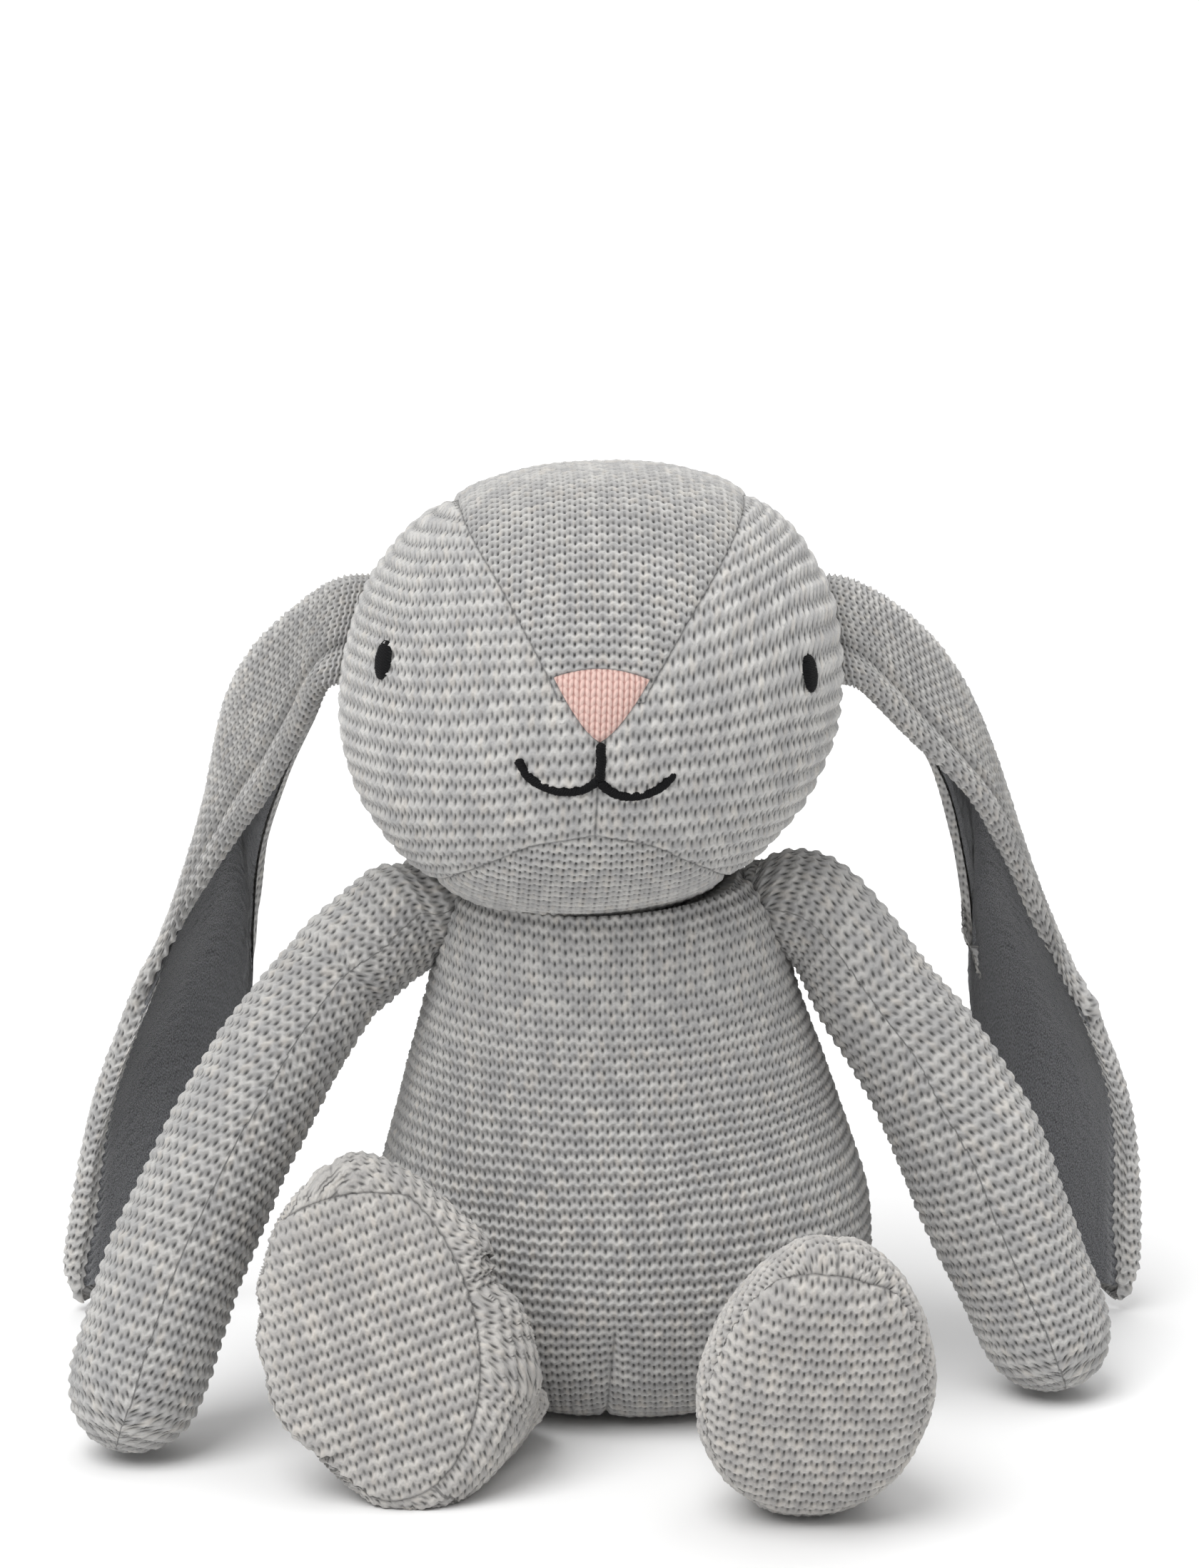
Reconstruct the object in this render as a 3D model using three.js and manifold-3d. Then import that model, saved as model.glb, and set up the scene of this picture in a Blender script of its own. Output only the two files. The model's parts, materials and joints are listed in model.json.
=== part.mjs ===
// A sitting stuffed rabbit with a knitted cover, built from its sewn panels, its stuffing and its seams.
// Millimetres, +Z up. The rabbit faces -Y, +X is on the right of someone who faces it, and the origin is on
// the floor under the middle of its body.
import * as THREE from "three";
import { mergeVertices } from "three/addons/utils/BufferGeometryUtils.js";
import Module from "manifold-3d";

// ---------------------------------------------------------------- driving dimensions

const KNIT = 1.6; // thickness of the knitted cover
const GAP = 0.3; // clearance between neighbouring pieces
const THREAD = 0.7; // radius of a bunched sewing thread

const HEAD_CENTRE = [-8.6, -8, 202.2];
const HEAD_TURN = { yaw: 2.6, roll: 2 }; // degrees; the head is sewn on very slightly askew
const HEAD_HALF = [71, 60, 64.4]; // half width, half depth, half height
const MUZZLE_SWELL = 0.05; // how far the muzzle stands out, as a share of the head's radius
const HEAD_SIDES = 20;
const HEAD_RINGS = 11;

const BODY_DEPTH_SHARE = 0.86; // body depth over body width
const BODY_TOP = 138;
const BODY_SHIFT_AT_TOP = -5; // the body leans a little to the left
const SEAT_RADIUS = 38;
const BODY_SIDES = 20;
const BODY_RINGS = 12;

const NECK = [-5, -3, 137.5]; // where the head rocks on the body
const NECK_SEAM_RADIUS = 14;

const SHOULDER_HEIGHT = 139.5;
const SHOULDER_REACH = 46.2; // from the body's middle to the arm's sewn end
const ARM_RADIUS = 20.5;
const ARM_SIDES = 10;

const LEG_SIDES = 14;
const SOLE_HALF_WIDTH = 30;
const SOLE_HALF_LENGTH = 45.5;
const SOLE_PUFF = 6; // how far the stuffing domes the sole

const EAR_KNIT = 2.2;
const EAR_LINING = 1.3;

const TAIL_RADIUS = 14;

// ---------------------------------------------------------------- materials

const COLOURS = {
  knit: [0xb9b7b3, 0.95],
  lining: [0x5c5d5f, 0.95],
  nose: [0xe6bdae, 0.9],
  thread: [0x111112, 0.7],
  seam: [0x8f8d89, 0.9],
  stuffing: [0xf4f2ec, 1.0],
  beads: [0xd9d4c6, 0.8],
};

function material(name) {
  const [color, roughness] = COLOURS[name];
  return new THREE.MeshStandardMaterial({ color, roughness, metalness: 0 });
}

// ---------------------------------------------------------------- solids and booleans

const wasm = await Module();
wasm.setup();

function signedVolume(geometry) {
  const p = geometry.attributes.position;
  const index = geometry.index.array;
  const [a, b, c] = [new THREE.Vector3(), new THREE.Vector3(), new THREE.Vector3()];
  let volume = 0;
  for (let i = 0; i < index.length; i += 3) {
    a.fromBufferAttribute(p, index[i]);
    b.fromBufferAttribute(p, index[i + 1]);
    c.fromBufferAttribute(p, index[i + 2]);
    volume += a.dot(b.cross(c)) / 6;
  }
  return volume;
}

function solid(geometry) {
  let plain = geometry.clone();
  plain.deleteAttribute("normal");
  plain.deleteAttribute("uv");
  plain = mergeVertices(plain, 1e-4);
  const triVerts = new Uint32Array(plain.index.array);
  if (signedVolume(plain) < 0) triVerts.reverse();
  const vertProperties = new Float32Array(plain.attributes.position.array);
  return new wasm.Manifold(new wasm.Mesh({ numProp: 3, vertProperties, triVerts }));
}

function geometryOf(body) {
  const mesh = body.getMesh();
  const geometry = new THREE.BufferGeometry();
  geometry.setAttribute("position", new THREE.BufferAttribute(new Float32Array(mesh.vertProperties), 3));
  geometry.setIndex(new THREE.BufferAttribute(new Uint32Array(mesh.triVerts), 1));
  return geometry;
}

function piece(name, body, look) {
  const mesh = new THREE.Mesh(geometryOf(body), material(look));
  mesh.name = name;
  return mesh;
}

// ---------------------------------------------------------------- shape helpers

const vec = (x, y, z) => new THREE.Vector3(x, y, z);
const smooth = (from, to, x) => THREE.MathUtils.smoothstep(x, from, to);
const mix = THREE.MathUtils.lerp;

/** A closed skin through rings of equal length, with a pole in the middle of each end ring. */
function skin(rings) {
  const count = rings[0].length;
  const points = rings.flat();
  const middle = (ring) => ring.reduce((sum, p) => sum.add(p), vec(0, 0, 0)).divideScalar(count);
  const start = points.push(middle(rings[0])) - 1;
  const end = points.push(middle(rings[rings.length - 1])) - 1;
  const index = [];
  for (let j = 0; j < count; j++) {
    const k = (j + 1) % count;
    for (let i = 0; i + 1 < rings.length; i++) {
      const [a, b, c, d] = [i * count + j, i * count + k, (i + 1) * count + k, (i + 1) * count + j];
      index.push(a, b, c, a, c, d);
    }
    const last = (rings.length - 1) * count;
    index.push(start, k, j, end, last + j, last + k);
  }
  const geometry = new THREE.BufferGeometry().setFromPoints(points);
  geometry.setIndex(index);
  return solid(geometry);
}

/** An oval ring of points: centre plus two half axes. */
function oval(centre, halfA, halfB, count) {
  return Array.from({ length: count }, (_, j) => {
    const angle = (2 * Math.PI * j) / count;
    return centre.clone().addScaledVector(halfA, Math.cos(angle)).addScaledVector(halfB, Math.sin(angle));
  });
}

/** A prism whose outline is drawn in X and Z, running along Y. */
function prism(outline, fromY, toY) {
  const shape = new THREE.Shape(outline.map(([x, z]) => new THREE.Vector2(x, z)));
  const geometry = new THREE.ExtrudeGeometry(shape, { depth: toY - fromY, bevelEnabled: false });
  geometry.rotateX(Math.PI / 2);
  geometry.translate(0, toY, 0);
  return solid(geometry);
}

/** A box given by its lowest and highest corners. */
function block(low, high) {
  const size = high.map((value, i) => value - low[i]);
  const geometry = new THREE.BoxGeometry(...size);
  geometry.translate(...low.map((value, i) => value + size[i] / 2));
  return solid(geometry);
}

/** A round thread along a curve. */
function thread(curve, radius, steps) {
  const shape = new THREE.Shape().absarc(0, 0, radius, 0, 2 * Math.PI);
  return solid(new THREE.ExtrudeGeometry(shape, { steps, curveSegments: 3, extrudePath: curve }));
}

/** A closed loop of thread in the plane of two half axes. */
function threadLoop(centre, halfA, halfB, radius, steps, sides = 5) {
  const normal = halfA.clone().cross(halfB).normalize();
  const points = [];
  const index = [];
  for (let i = 0; i < steps; i++) {
    const angle = (2 * Math.PI * i) / steps;
    const out = vec(0, 0, 0).addScaledVector(halfA, Math.cos(angle)).addScaledVector(halfB, Math.sin(angle));
    const away = out.clone().normalize();
    for (let j = 0; j < sides; j++) {
      const turn = (2 * Math.PI * j) / sides;
      const p = centre.clone().add(out);
      p.addScaledVector(away, radius * Math.cos(turn)).addScaledVector(normal, radius * Math.sin(turn));
      points.push(p);
      const [a, b] = [i * sides + j, i * sides + ((j + 1) % sides)];
      const [c, d] = [((i + 1) % steps) * sides + ((j + 1) % sides), ((i + 1) % steps) * sides + j];
      index.push(a, b, c, a, c, d);
    }
  }
  const geometry = new THREE.BufferGeometry().setFromPoints(points);
  geometry.setIndex(index);
  return solid(geometry);
}

// ---------------------------------------------------------------- head, in its own frame around its centre

/** Distance from the head's centre to its skin along a unit direction. */
function headRadius(d) {
  const power = 2 + 0.35 * smooth(0, 0.5, d.z); // the crown is a little squarer than the chin
  const across = Math.hypot(d.x / HEAD_HALF[0], d.y / HEAD_HALF[1]) ** power;
  const radius = (across + Math.abs(d.z / HEAD_HALF[2]) ** power) ** (-1 / power);
  const offMuzzle = d.angleTo(vec(0, -1, 0.05).normalize());
  return radius * (1 + MUZZLE_SWELL * Math.exp(-((offMuzzle / 0.62) ** 2)));
}

function headSolid(inset) {
  const rings = [];
  for (let i = 1; i < HEAD_RINGS; i++) {
    const rise = -Math.PI / 2 + (Math.PI * i) / HEAD_RINGS;
    const ring = [];
    for (let j = 0; j < HEAD_SIDES; j++) {
      const around = (2 * Math.PI * (j + 0.5)) / HEAD_SIDES;
      const d = vec(Math.cos(rise) * Math.cos(around), Math.cos(rise) * Math.sin(around), Math.sin(rise));
      ring.push(d.clone().multiplyScalar(headRadius(d) - inset));
    }
    rings.push(ring);
  }
  return skin(rings);
}

/** The point on the front of the head at a given x and z, lifted off the skin. */
function onFace(x, z, lift = 0) {
  let [near, far] = [0, -100];
  for (let i = 0; i < 40; i++) {
    const y = (near + far) / 2;
    const p = vec(x, y, z);
    if (p.length() > headRadius(p.clone().normalize()) + lift) far = y;
    else near = y;
  }
  return vec(x, near, z);
}

const GUSSET_BASE = 12.6; // half width where the forehead gusset meets the nose
const GUSSET_CROWN = 42; // half width over the crown
const NOSE_TOP = 15; // height of the nose's upper corners over the head's centre
const NOSE_TIP = -1.5;

function gussetCutter(grow) {
  const front = [
    [GUSSET_BASE, NOSE_TOP - 3],
    [23, 30],
    [32, 43.5],
    [38, 52],
    [GUSSET_CROWN, 60],
    [GUSSET_CROWN, 90],
  ];
  const back = [
    [16, -90],
    [20, -40],
    [30, 5],
    [38, 40],
    [GUSSET_CROWN, 60],
    [GUSSET_CROWN, 90],
  ];
  const bothSides = (half) => {
    const right = half.map(([x, z]) => [x + grow, z]);
    const left = half.map(([x, z]) => [-x - grow, z]).reverse();
    return [...right, ...left];
  };
  return prism(bothSides(front), -90, 0.05).add(prism(bothSides(back), 0, 90));
}

function noseCutter(grow) {
  const side = GUSSET_BASE + grow;
  const outline = [
    [0, NOSE_TIP - grow],
    [side * 0.62, NOSE_TOP * 0.4],
    [side, NOSE_TOP + grow * 0.5],
    [side * 0.55, NOSE_TOP + 1.8 + grow],
    [0, NOSE_TOP + 2.6 + grow],
  ];
  const left = outline.slice(1, -1).map(([x, z]) => [-x, z]).reverse();
  return prism([...outline, ...left], -90, -20);
}

function chinCutter(grow) {
  const arc = [
    [-60, -80],
    [-52, -62],
    [-34, -44],
    [-17, -33],
    [0, -29],
    [17, -33],
    [34, -44],
    [52, -62],
    [60, -80],
  ];
  return prism(arc.map(([x, z]) => [x, z + grow]), -90, 22 + grow);
}

function eye(side) {
  const centre = onFace(side * 57.5, 13.3);
  const out = centre.clone().normalize();
  const up = vec(0, 0, 1).addScaledVector(out, -out.z).normalize();
  const across = up.clone().cross(out).normalize();
  const rings = [
    [0.35, 0.96],
    [0.8, 1],
    [1.35, 0.72],
  ].map(([lift, share]) =>
    oval(
      centre.clone().addScaledVector(out, lift),
      across.clone().multiplyScalar(3.6 * share),
      up.clone().multiplyScalar(5 * share),
      14,
    ),
  );
  return skin(rings);
}

function mouth() {
  const radius = 1.05;
  const lift = radius + 0.35;
  const through = (points) => new THREE.CatmullRomCurve3(points.map(([x, z]) => onFace(x, z, lift)));
  const line = (points) => thread(through(points), radius, 8);
  const philtrum = line([
    [0, NOSE_TIP - 1.4],
    [0.3, -7],
    [0, -13.2],
  ]);
  const smile = (side) =>
    line([
      [0, -13],
      [side * 5.5, -16.6],
      [side * 11, -17],
      [side * 17, -14.6],
      [side * 20.6, -10.6],
    ]);
  return philtrum.add(smile(-1)).add(smile(1));
}

function head() {
  const group = new THREE.Group();
  const shell = headSolid(0).subtract(headSolid(KNIT));
  const middle = block([-GAP / 2, -100, -100], [GAP / 2, 100, 100]);
  const sides = shell.subtract(gussetCutter(GAP)).subtract(noseCutter(GAP)).subtract(chinCutter(GAP));
  const half = (side) => block([Math.min(side, 0) * 100, -100, -100], [Math.max(side, 0) * 100, 100, 100]);
  group.add(piece("forehead_gusset", shell.intersect(gussetCutter(0)).subtract(noseCutter(GAP)), "knit"));
  group.add(piece("nose_panel", shell.intersect(noseCutter(0)), "nose"));
  group.add(piece("chin_panel", shell.intersect(chinCutter(0)).subtract(gussetCutter(GAP)), "knit"));
  group.add(piece("left_cheek_panel", sides.intersect(half(-1)).subtract(middle), "knit"));
  group.add(piece("right_cheek_panel", sides.intersect(half(1)).subtract(middle), "knit"));
  group.add(piece("head_stuffing", headSolid(KNIT + GAP), "stuffing"));
  group.add(piece("left_eye", eye(-1), "thread"));
  group.add(piece("right_eye", eye(1), "thread"));
  group.add(piece("mouth_embroidery", mouth(), "thread"));
  group.position.set(...HEAD_CENTRE);
  group.rotation.order = "ZYX";
  group.rotation.set(0, THREE.MathUtils.degToRad(HEAD_TURN.roll), THREE.MathUtils.degToRad(HEAD_TURN.yaw));
  return group;
}

// ---------------------------------------------------------------- ears

/** Three lines that a lop ear's cloth runs through: front edge, fold and back edge, root to tip. */
const EAR_LINES = {
  front: [
    [73.5, -3, 204],
    [83.5, 4, 189],
    [98, 15, 169],
    [113, 30, 147],
    [133, 43, 118],
    [146, 47, 91],
    [155, 50, 64],
    [160, 54, 35],
    [162, 58, 7],
  ],
  fold: [
    [70, 3, 233],
    [84, 8, 225],
    [98, 14, 211],
    [108, 24, 191],
    [115, 37, 163],
    [121, 50, 130],
    [132, 61, 88],
    [142, 65, 41],
    [157, 62, 3],
  ],
  back: [
    [73.5, 9, 204],
    [80, 16, 189],
    [89, 27, 170],
    [97, 42, 148],
    [103, 55, 124],
    [107, 65, 94],
    [112, 70, 62],
    [127, 69, 31],
    [152, 63, 6],
  ],
};

/** The plane the two ears mirror in: beside the head it is the head's own middle. */
const earMiddle = (z) => mix(-6, -7.8, smooth(140, 200, z));

function earGrid(side) {
  const curves = Object.values(EAR_LINES).map(
    (line) => new THREE.CatmullRomCurve3(line.map(([x, y, z]) => vec(earMiddle(z) + side * x, y, z))),
  );
  const [along, across] = [10, 8];
  const at = (t, s) => {
    const [front, fold, back] = curves.map((curve) => curve.getPoint(t));
    const p = front.multiplyScalar((1 - s) * (1 - 2 * s));
    return p.addScaledVector(fold, 4 * s * (1 - s)).addScaledVector(back, s * (2 * s - 1));
  };
  const grid = [];
  for (let i = 0; i <= along; i++) {
    const t = i / along;
    const row = [];
    for (let j = 0; j <= across; j++) {
      const s = j / across;
      const p = at(t, s);
      const alongEar = at(Math.min(t + 0.01, 1), s).sub(at(Math.max(t - 0.01, 0), s));
      const acrossEar = at(t, s + 0.01).sub(at(t, s - 0.01));
      const normal = alongEar.cross(acrossEar).multiplyScalar(side).normalize();
      row.push({ p, normal });
    }
    grid.push(row);
  }
  return grid;
}

/** A closed sheet between two offsets of a grid of points and normals. */
function sheet(grid, low, high) {
  const [rows, columns] = [grid.length, grid[0].length];
  const points = [];
  for (const offset of [low, high]) {
    for (const row of grid) {
      for (const { p, normal } of row) points.push(p.clone().addScaledVector(normal, offset));
    }
  }
  const at = (layer, i, j) => layer * rows * columns + i * columns + j;
  const index = [];
  const quad = (a, b, c, d) => index.push(a, b, c, a, c, d);
  for (let i = 0; i + 1 < rows; i++) {
    for (let j = 0; j + 1 < columns; j++) {
      quad(at(0, i, j), at(0, i, j + 1), at(0, i + 1, j + 1), at(0, i + 1, j));
      quad(at(1, i, j), at(1, i + 1, j), at(1, i + 1, j + 1), at(1, i, j + 1));
    }
  }
  for (let i = 0; i + 1 < rows; i++) {
    quad(at(0, i, 0), at(0, i + 1, 0), at(1, i + 1, 0), at(1, i, 0));
    quad(at(0, i + 1, columns - 1), at(0, i, columns - 1), at(1, i, columns - 1), at(1, i + 1, columns - 1));
  }
  for (let j = 0; j + 1 < columns; j++) {
    quad(at(0, 0, j + 1), at(0, 0, j), at(1, 0, j), at(1, 0, j + 1));
    quad(at(0, rows - 1, j), at(0, rows - 1, j + 1), at(1, rows - 1, j + 1), at(1, rows - 1, j));
  }
  const geometry = new THREE.BufferGeometry().setFromPoints(points);
  geometry.setIndex(index);
  return solid(geometry);
}

function ear(side, name) {
  const group = new THREE.Group();
  const grid = earGrid(side);
  const insideRim = grid.slice(1, -1).map((row) => row.slice(1, -1));
  group.add(piece(`${name}_ear_back`, sheet(grid, 0, EAR_KNIT), "knit"));
  group.add(piece(`${name}_ear_lining`, sheet(insideRim, -EAR_LINING - GAP, -GAP), "lining"));
  return group;
}

// ---------------------------------------------------------------- body

const BODY_PROFILE = [
  [SEAT_RADIUS, 0],
  [50, 2.5],
  [62, 13],
  [70, 29],
  [72.2, 46],
  [69.8, 63],
  [64, 80],
  [59, 97],
  [53.5, 114],
  [49, 126],
  [45, 132.5],
  [40, 136.2],
  [32, 137.2],
  [22, 135.4],
  [12, 133.2],
];

/** Where the body's middle is at a height. */
const bodyMiddle = (z) => BODY_SHIFT_AT_TOP * (Math.max(z, 0) / BODY_TOP) ** 2 + 1.2;

function bodySolid(inset) {
  const profile = new THREE.SplineCurve(BODY_PROFILE.map(([r, z]) => new THREE.Vector2(r, z)));
  const rings = [];
  for (let i = 0; i <= BODY_RINGS; i++) {
    const t = i / BODY_RINGS;
    const p = profile.getPoint(t);
    const along = profile.getTangent(t);
    const radius = p.x - inset * along.y;
    const height = i === 0 ? inset : p.y + inset * along.x;
    const middle = vec(bodyMiddle(p.y), 0, height);
    rings.push(oval(middle, vec(radius, 0, 0), vec(0, radius * BODY_DEPTH_SHARE, 0), BODY_SIDES));
  }
  return skin(rings);
}

function ovalPost(radius, fromZ, toZ) {
  const [halfWidth, halfDepth] = [vec(radius, 0, 0), vec(0, radius * BODY_DEPTH_SHARE, 0)];
  const ring = (z) => oval(vec(bodyMiddle(0), 0, z), halfWidth, halfDepth, BODY_SIDES);
  return skin([ring(fromZ), ring(toZ)]);
}

/** A wedge of space around the body's axis, between two headings measured from the back, in degrees. */
function wedge(from, to, pull) {
  const [near, far] = [from, to].map(THREE.MathUtils.degToRad);
  const steps = 6;
  const arc = Array.from({ length: steps + 1 }, (_, i) => mix(near, far, i / steps));
  const heading = (angle) => new THREE.Vector2(Math.sin(angle), Math.cos(angle));
  const tip = heading((near + far) / 2).multiplyScalar(pull);
  const rim = arc.map((angle) => heading(angle).multiplyScalar(150).add(tip));
  const shape = new THREE.Shape([tip, ...rim]);
  const geometry = new THREE.ExtrudeGeometry(shape, { depth: 170, bevelEnabled: false });
  geometry.translate(0, 0, -10);
  return solid(geometry);
}

const BEAD_POUCH = { centre: [0, 0, 18], half: [36, 28, 12] };

function pouch(grow) {
  const rings = [-60, -30, 0, 30, 60].map((degrees) => {
    const angle = THREE.MathUtils.degToRad(degrees);
    const [a, b, c] = BEAD_POUCH.half.map((value) => value + grow);
    const centre = vec(...BEAD_POUCH.centre).add(vec(0, 0, c * Math.sin(angle)));
    return oval(centre, vec(a * Math.cos(angle), 0, 0), vec(0, b * Math.cos(angle), 0), 16);
  });
  return skin(rings);
}

function body() {
  const group = new THREE.Group();
  const shell = bodySolid(0).subtract(bodySolid(KNIT));
  const seat = shell.intersect(ovalPost(SEAT_RADIUS - 1, -5, 12));
  const wall = shell.subtract(ovalPost(SEAT_RADIUS - 1 + GAP, -5, 12));
  group.add(piece("body_seat_panel", seat, "knit"));
  group.add(piece("body_back_left_panel", wall.intersect(wedge(-70, 0, GAP)), "knit"));
  group.add(piece("body_back_right_panel", wall.intersect(wedge(0, 70, GAP)), "knit"));
  const backHalf = wedge(-70, 70, 0);
  group.add(piece("body_front_panel", wall.subtract(backHalf), "knit"));
  const channel = new THREE.CylinderGeometry(2, 2, 60, 8).translate(0, 40, 18);
  const filling = bodySolid(KNIT + GAP).subtract(pouch(GAP)).subtract(solid(channel));
  group.add(piece("body_stuffing", filling, "stuffing"));
  group.add(piece("seat_bead_pouch", pouch(0), "beads"));
  return group;
}

/** The ladder stitch that closes the middle of the back, lying just outside the cover. */
function closingSeam() {
  const profile = new THREE.SplineCurve(BODY_PROFILE.map(([r, z]) => new THREE.Vector2(r, z)));
  const points = [];
  for (let i = 0; i <= 6; i++) {
    const p = profile.getPoint(mix(0.34, 0.56, i / 6));
    points.push(vec(bodyMiddle(p.y), p.x * BODY_DEPTH_SHARE + GAP + THREAD, p.y));
  }
  return piece("back_closing_seam", thread(new THREE.CatmullRomCurve3(points), THREAD, 8), "seam");
}

function tail() {
  const group = new THREE.Group();
  const ball = (radius) => solid(new THREE.SphereGeometry(radius, 14, 9));
  const opening = solid(new THREE.CylinderGeometry(4, 4, 30, 10).translate(0, -15, 0));
  const cover = ball(TAIL_RADIUS).subtract(ball(TAIL_RADIUS - KNIT)).subtract(opening);
  group.add(piece("tail_cover", cover, "knit"));
  group.add(piece("tail_stuffing", ball(TAIL_RADIUS - KNIT - GAP), "stuffing"));
  group.position.set(0, 61 + TAIL_RADIUS, 33);
  return group;
}

function neckSeam() {
  const centre = vec(NECK[0], NECK[1], 135.9);
  const loop = threadLoop(centre, vec(NECK_SEAM_RADIUS, 0, 0), vec(0, NECK_SEAM_RADIUS, 0), THREAD, 18);
  return piece("neck_seam", loop, "seam");
}

// ---------------------------------------------------------------- arms

const LEFT_ARM = [
  [-63, -4, 134.5],
  [-80, -14, 121],
  [-93, -26, 105],
  [-105, -38, 88],
  [-114, -48, 70],
  [-122, -56, 52],
  [-128, -61, 34],
  [-132, -64, 20],
  [-134, -65, 0.3],
];
const RIGHT_ARM = [
  [53, -2, 138],
  [68, -5, 125.5],
  [83, -8, 108],
  [96, -11, 88],
  [105, -13, 68],
  [112.5, -14, 47],
  [118, -14, 30],
  [121, -14, 20],
  [122.5, -14, 0.3],
];

const shoulder = (side) => vec(BODY_SHIFT_AT_TOP + side * SHOULDER_REACH, 0, SHOULDER_HEIGHT);

/** Half height of an arm at a share of its length: a flat sewn end, a long swell and a blunt paw. */
function armRadius(t) {
  const swell = mix(6, ARM_RADIUS * 0.72, smooth(-0.02, 0.16, t)) + ARM_RADIUS * 0.28 * smooth(0.1, 0.75, t);
  const paw = Math.max(0, (t - 0.885) / 0.115);
  return swell * Math.sqrt(Math.max(0, 1 - paw ** 2.6));
}

function armSolid(side, inset, start) {
  const points = side < 0 ? LEFT_ARM : RIGHT_ARM;
  const spine = new THREE.CatmullRomCurve3([shoulder(side), ...points.map((p) => vec(...p))]);
  const length = spine.getLength();
  const stations = [start, 0.035, 0.07, 0.13, 0.22, 0.36, 0.52, 0.7, 0.88, 0.94, 0.975, 0.992];
  const rings = stations.map((t) => {
    const along = spine.getTangentAt(Math.max(t, 0));
    const centre = spine.getPointAt(Math.max(t, 0)).addScaledVector(along, Math.min(t, 0) * length);
    centre.addScaledVector(along, -inset * smooth(0.88, 1, t));
    const across = vec(0, 1, 0).addScaledVector(along, -along.y).normalize();
    const up = along.clone().cross(across).normalize();
    const half = armRadius(t);
    const flat = mix(0.5, 1, smooth(0, 0.14, t)); // the sewn end is pinched flat
    const reach = (value) => Math.max(value - inset, 1.2);
    return oval(centre, up.multiplyScalar(reach(half)), across.multiplyScalar(reach(half * flat)), ARM_SIDES);
  });
  return skin(rings);
}

function arm(side, name) {
  const group = new THREE.Group();
  const cover = armSolid(side, 0, 0.016).subtract(armSolid(side, KNIT, -0.02));
  group.add(piece(`${name}_arm_cover`, cover, "knit"));
  group.add(piece(`${name}_arm_stuffing`, armSolid(side, KNIT + GAP, 0.025), "stuffing"));
  return group;
}

function shoulderSeam(side, name) {
  const centre = shoulder(side).add(vec(-side * 1.1, 0, 0.6));
  const loop = threadLoop(centre, vec(0, 2.2, 0), vec(0, 0, 4.6), THREAD, 14);
  return piece(`${name}_shoulder_seam`, loop, "seam");
}

// ---------------------------------------------------------------- legs

/** Each leg: hip, heading away from the body, bend at the ankle, middle of the sole, heel-to-toe direction. */
const LEGS = {
  left: {
    hip: [-36.6, -48.4, 14],
    heading: [-0.5, -0.866, 0],
    ankle: [-49, -70, 23],
    sole: [-68.5, -94, 45],
    toe: [-0.25, 0.26, 0.93],
  },
  right: {
    hip: [36.6, -48.4, 14],
    heading: [0.5, -0.866, 0],
    ankle: [48, -84, 22],
    sole: [50.2, -132, 43],
    toe: [0.06, -0.36, 0.93],
  },
};

function legFrame(leg) {
  const heading = vec(...leg.heading);
  const toe = vec(...leg.toe).normalize();
  const width = vec(-heading.y, heading.x, 0);
  const soleWidth = vec(1, 0, 0).addScaledVector(toe, -toe.x).normalize();
  const soleNormal = soleWidth.clone().cross(toe).normalize();
  return { heading, toe, width, soleWidth, soleNormal };
}

function legSolid(leg, inset, start) {
  const { heading, toe, width, soleWidth, soleNormal } = legFrame(leg);
  const [hip, ankle, sole] = [leg.hip, leg.ankle, leg.sole].map((p) => vec(...p));
  const early = hip.clone().addScaledVector(heading, 16);
  const path = new THREE.CatmullRomCurve3([hip, early, ankle, sole]);
  const egg = oval(vec(0, 0, 0), vec(1, 0, 0), vec(0, 1, 0), LEG_SIDES);
  const ring = (centre, turn, halfWidth, halfLength, onFloor) => {
    const a = width.clone().lerp(soleWidth, turn).normalize();
    const b = vec(0, 0, 1).lerp(toe, turn);
    b.addScaledVector(a, -b.dot(a)).normalize();
    centre.z = mix(centre.z, Math.hypot(a.z * halfWidth, b.z * halfLength) + GAP, onFloor);
    return egg.map(({ x, y }) =>
      centre
        .clone()
        .addScaledVector(a, x * (1 - 0.14 * turn * y) * Math.max(halfWidth - inset, 1))
        .addScaledVector(b, y * Math.max(halfLength - inset, 0.8)),
    );
  };
  const stations = [start, 0.05, 0.1, 0.18, 0.3, 0.44, 0.58, 0.7, 0.82];
  const rings = stations.map((t) => {
    const beforeHip = Math.min(t, 0) * path.getLength();
    const centre = path.getPointAt(Math.max(t, 0)).addScaledVector(heading, beforeHip);
    const turn = smooth(0.25, 0.82, t);
    const halfWidth = mix(14.5, 18.5, smooth(0, 0.3, t)) + (SOLE_HALF_WIDTH - 18.5) * smooth(0.4, 0.82, t);
    const halfLength = mix(3, 17, smooth(-0.03, 0.4, t)) + (SOLE_HALF_LENGTH - 17) * smooth(0.4, 0.84, t);
    return ring(centre, turn, halfWidth, halfLength, smooth(0.08, 0.4, t));
  });
  const dome = [
    [1, 0],
    [0.94, 3],
    [0.75, 5],
    [0.4, SOLE_PUFF],
  ];
  const restOnFloor = Math.hypot(soleWidth.z * SOLE_HALF_WIDTH, toe.z * SOLE_HALF_LENGTH) + GAP;
  for (const [share, rise] of dome) {
    const centre = vec(sole.x, sole.y, restOnFloor).addScaledVector(soleNormal, Math.max(rise - inset, 0));
    const shrunk = (half) => (half - inset) * share + inset;
    rings.push(ring(centre, 1, shrunk(SOLE_HALF_WIDTH), shrunk(SOLE_HALF_LENGTH), 0));
  }
  return skin(rings);
}

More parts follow.
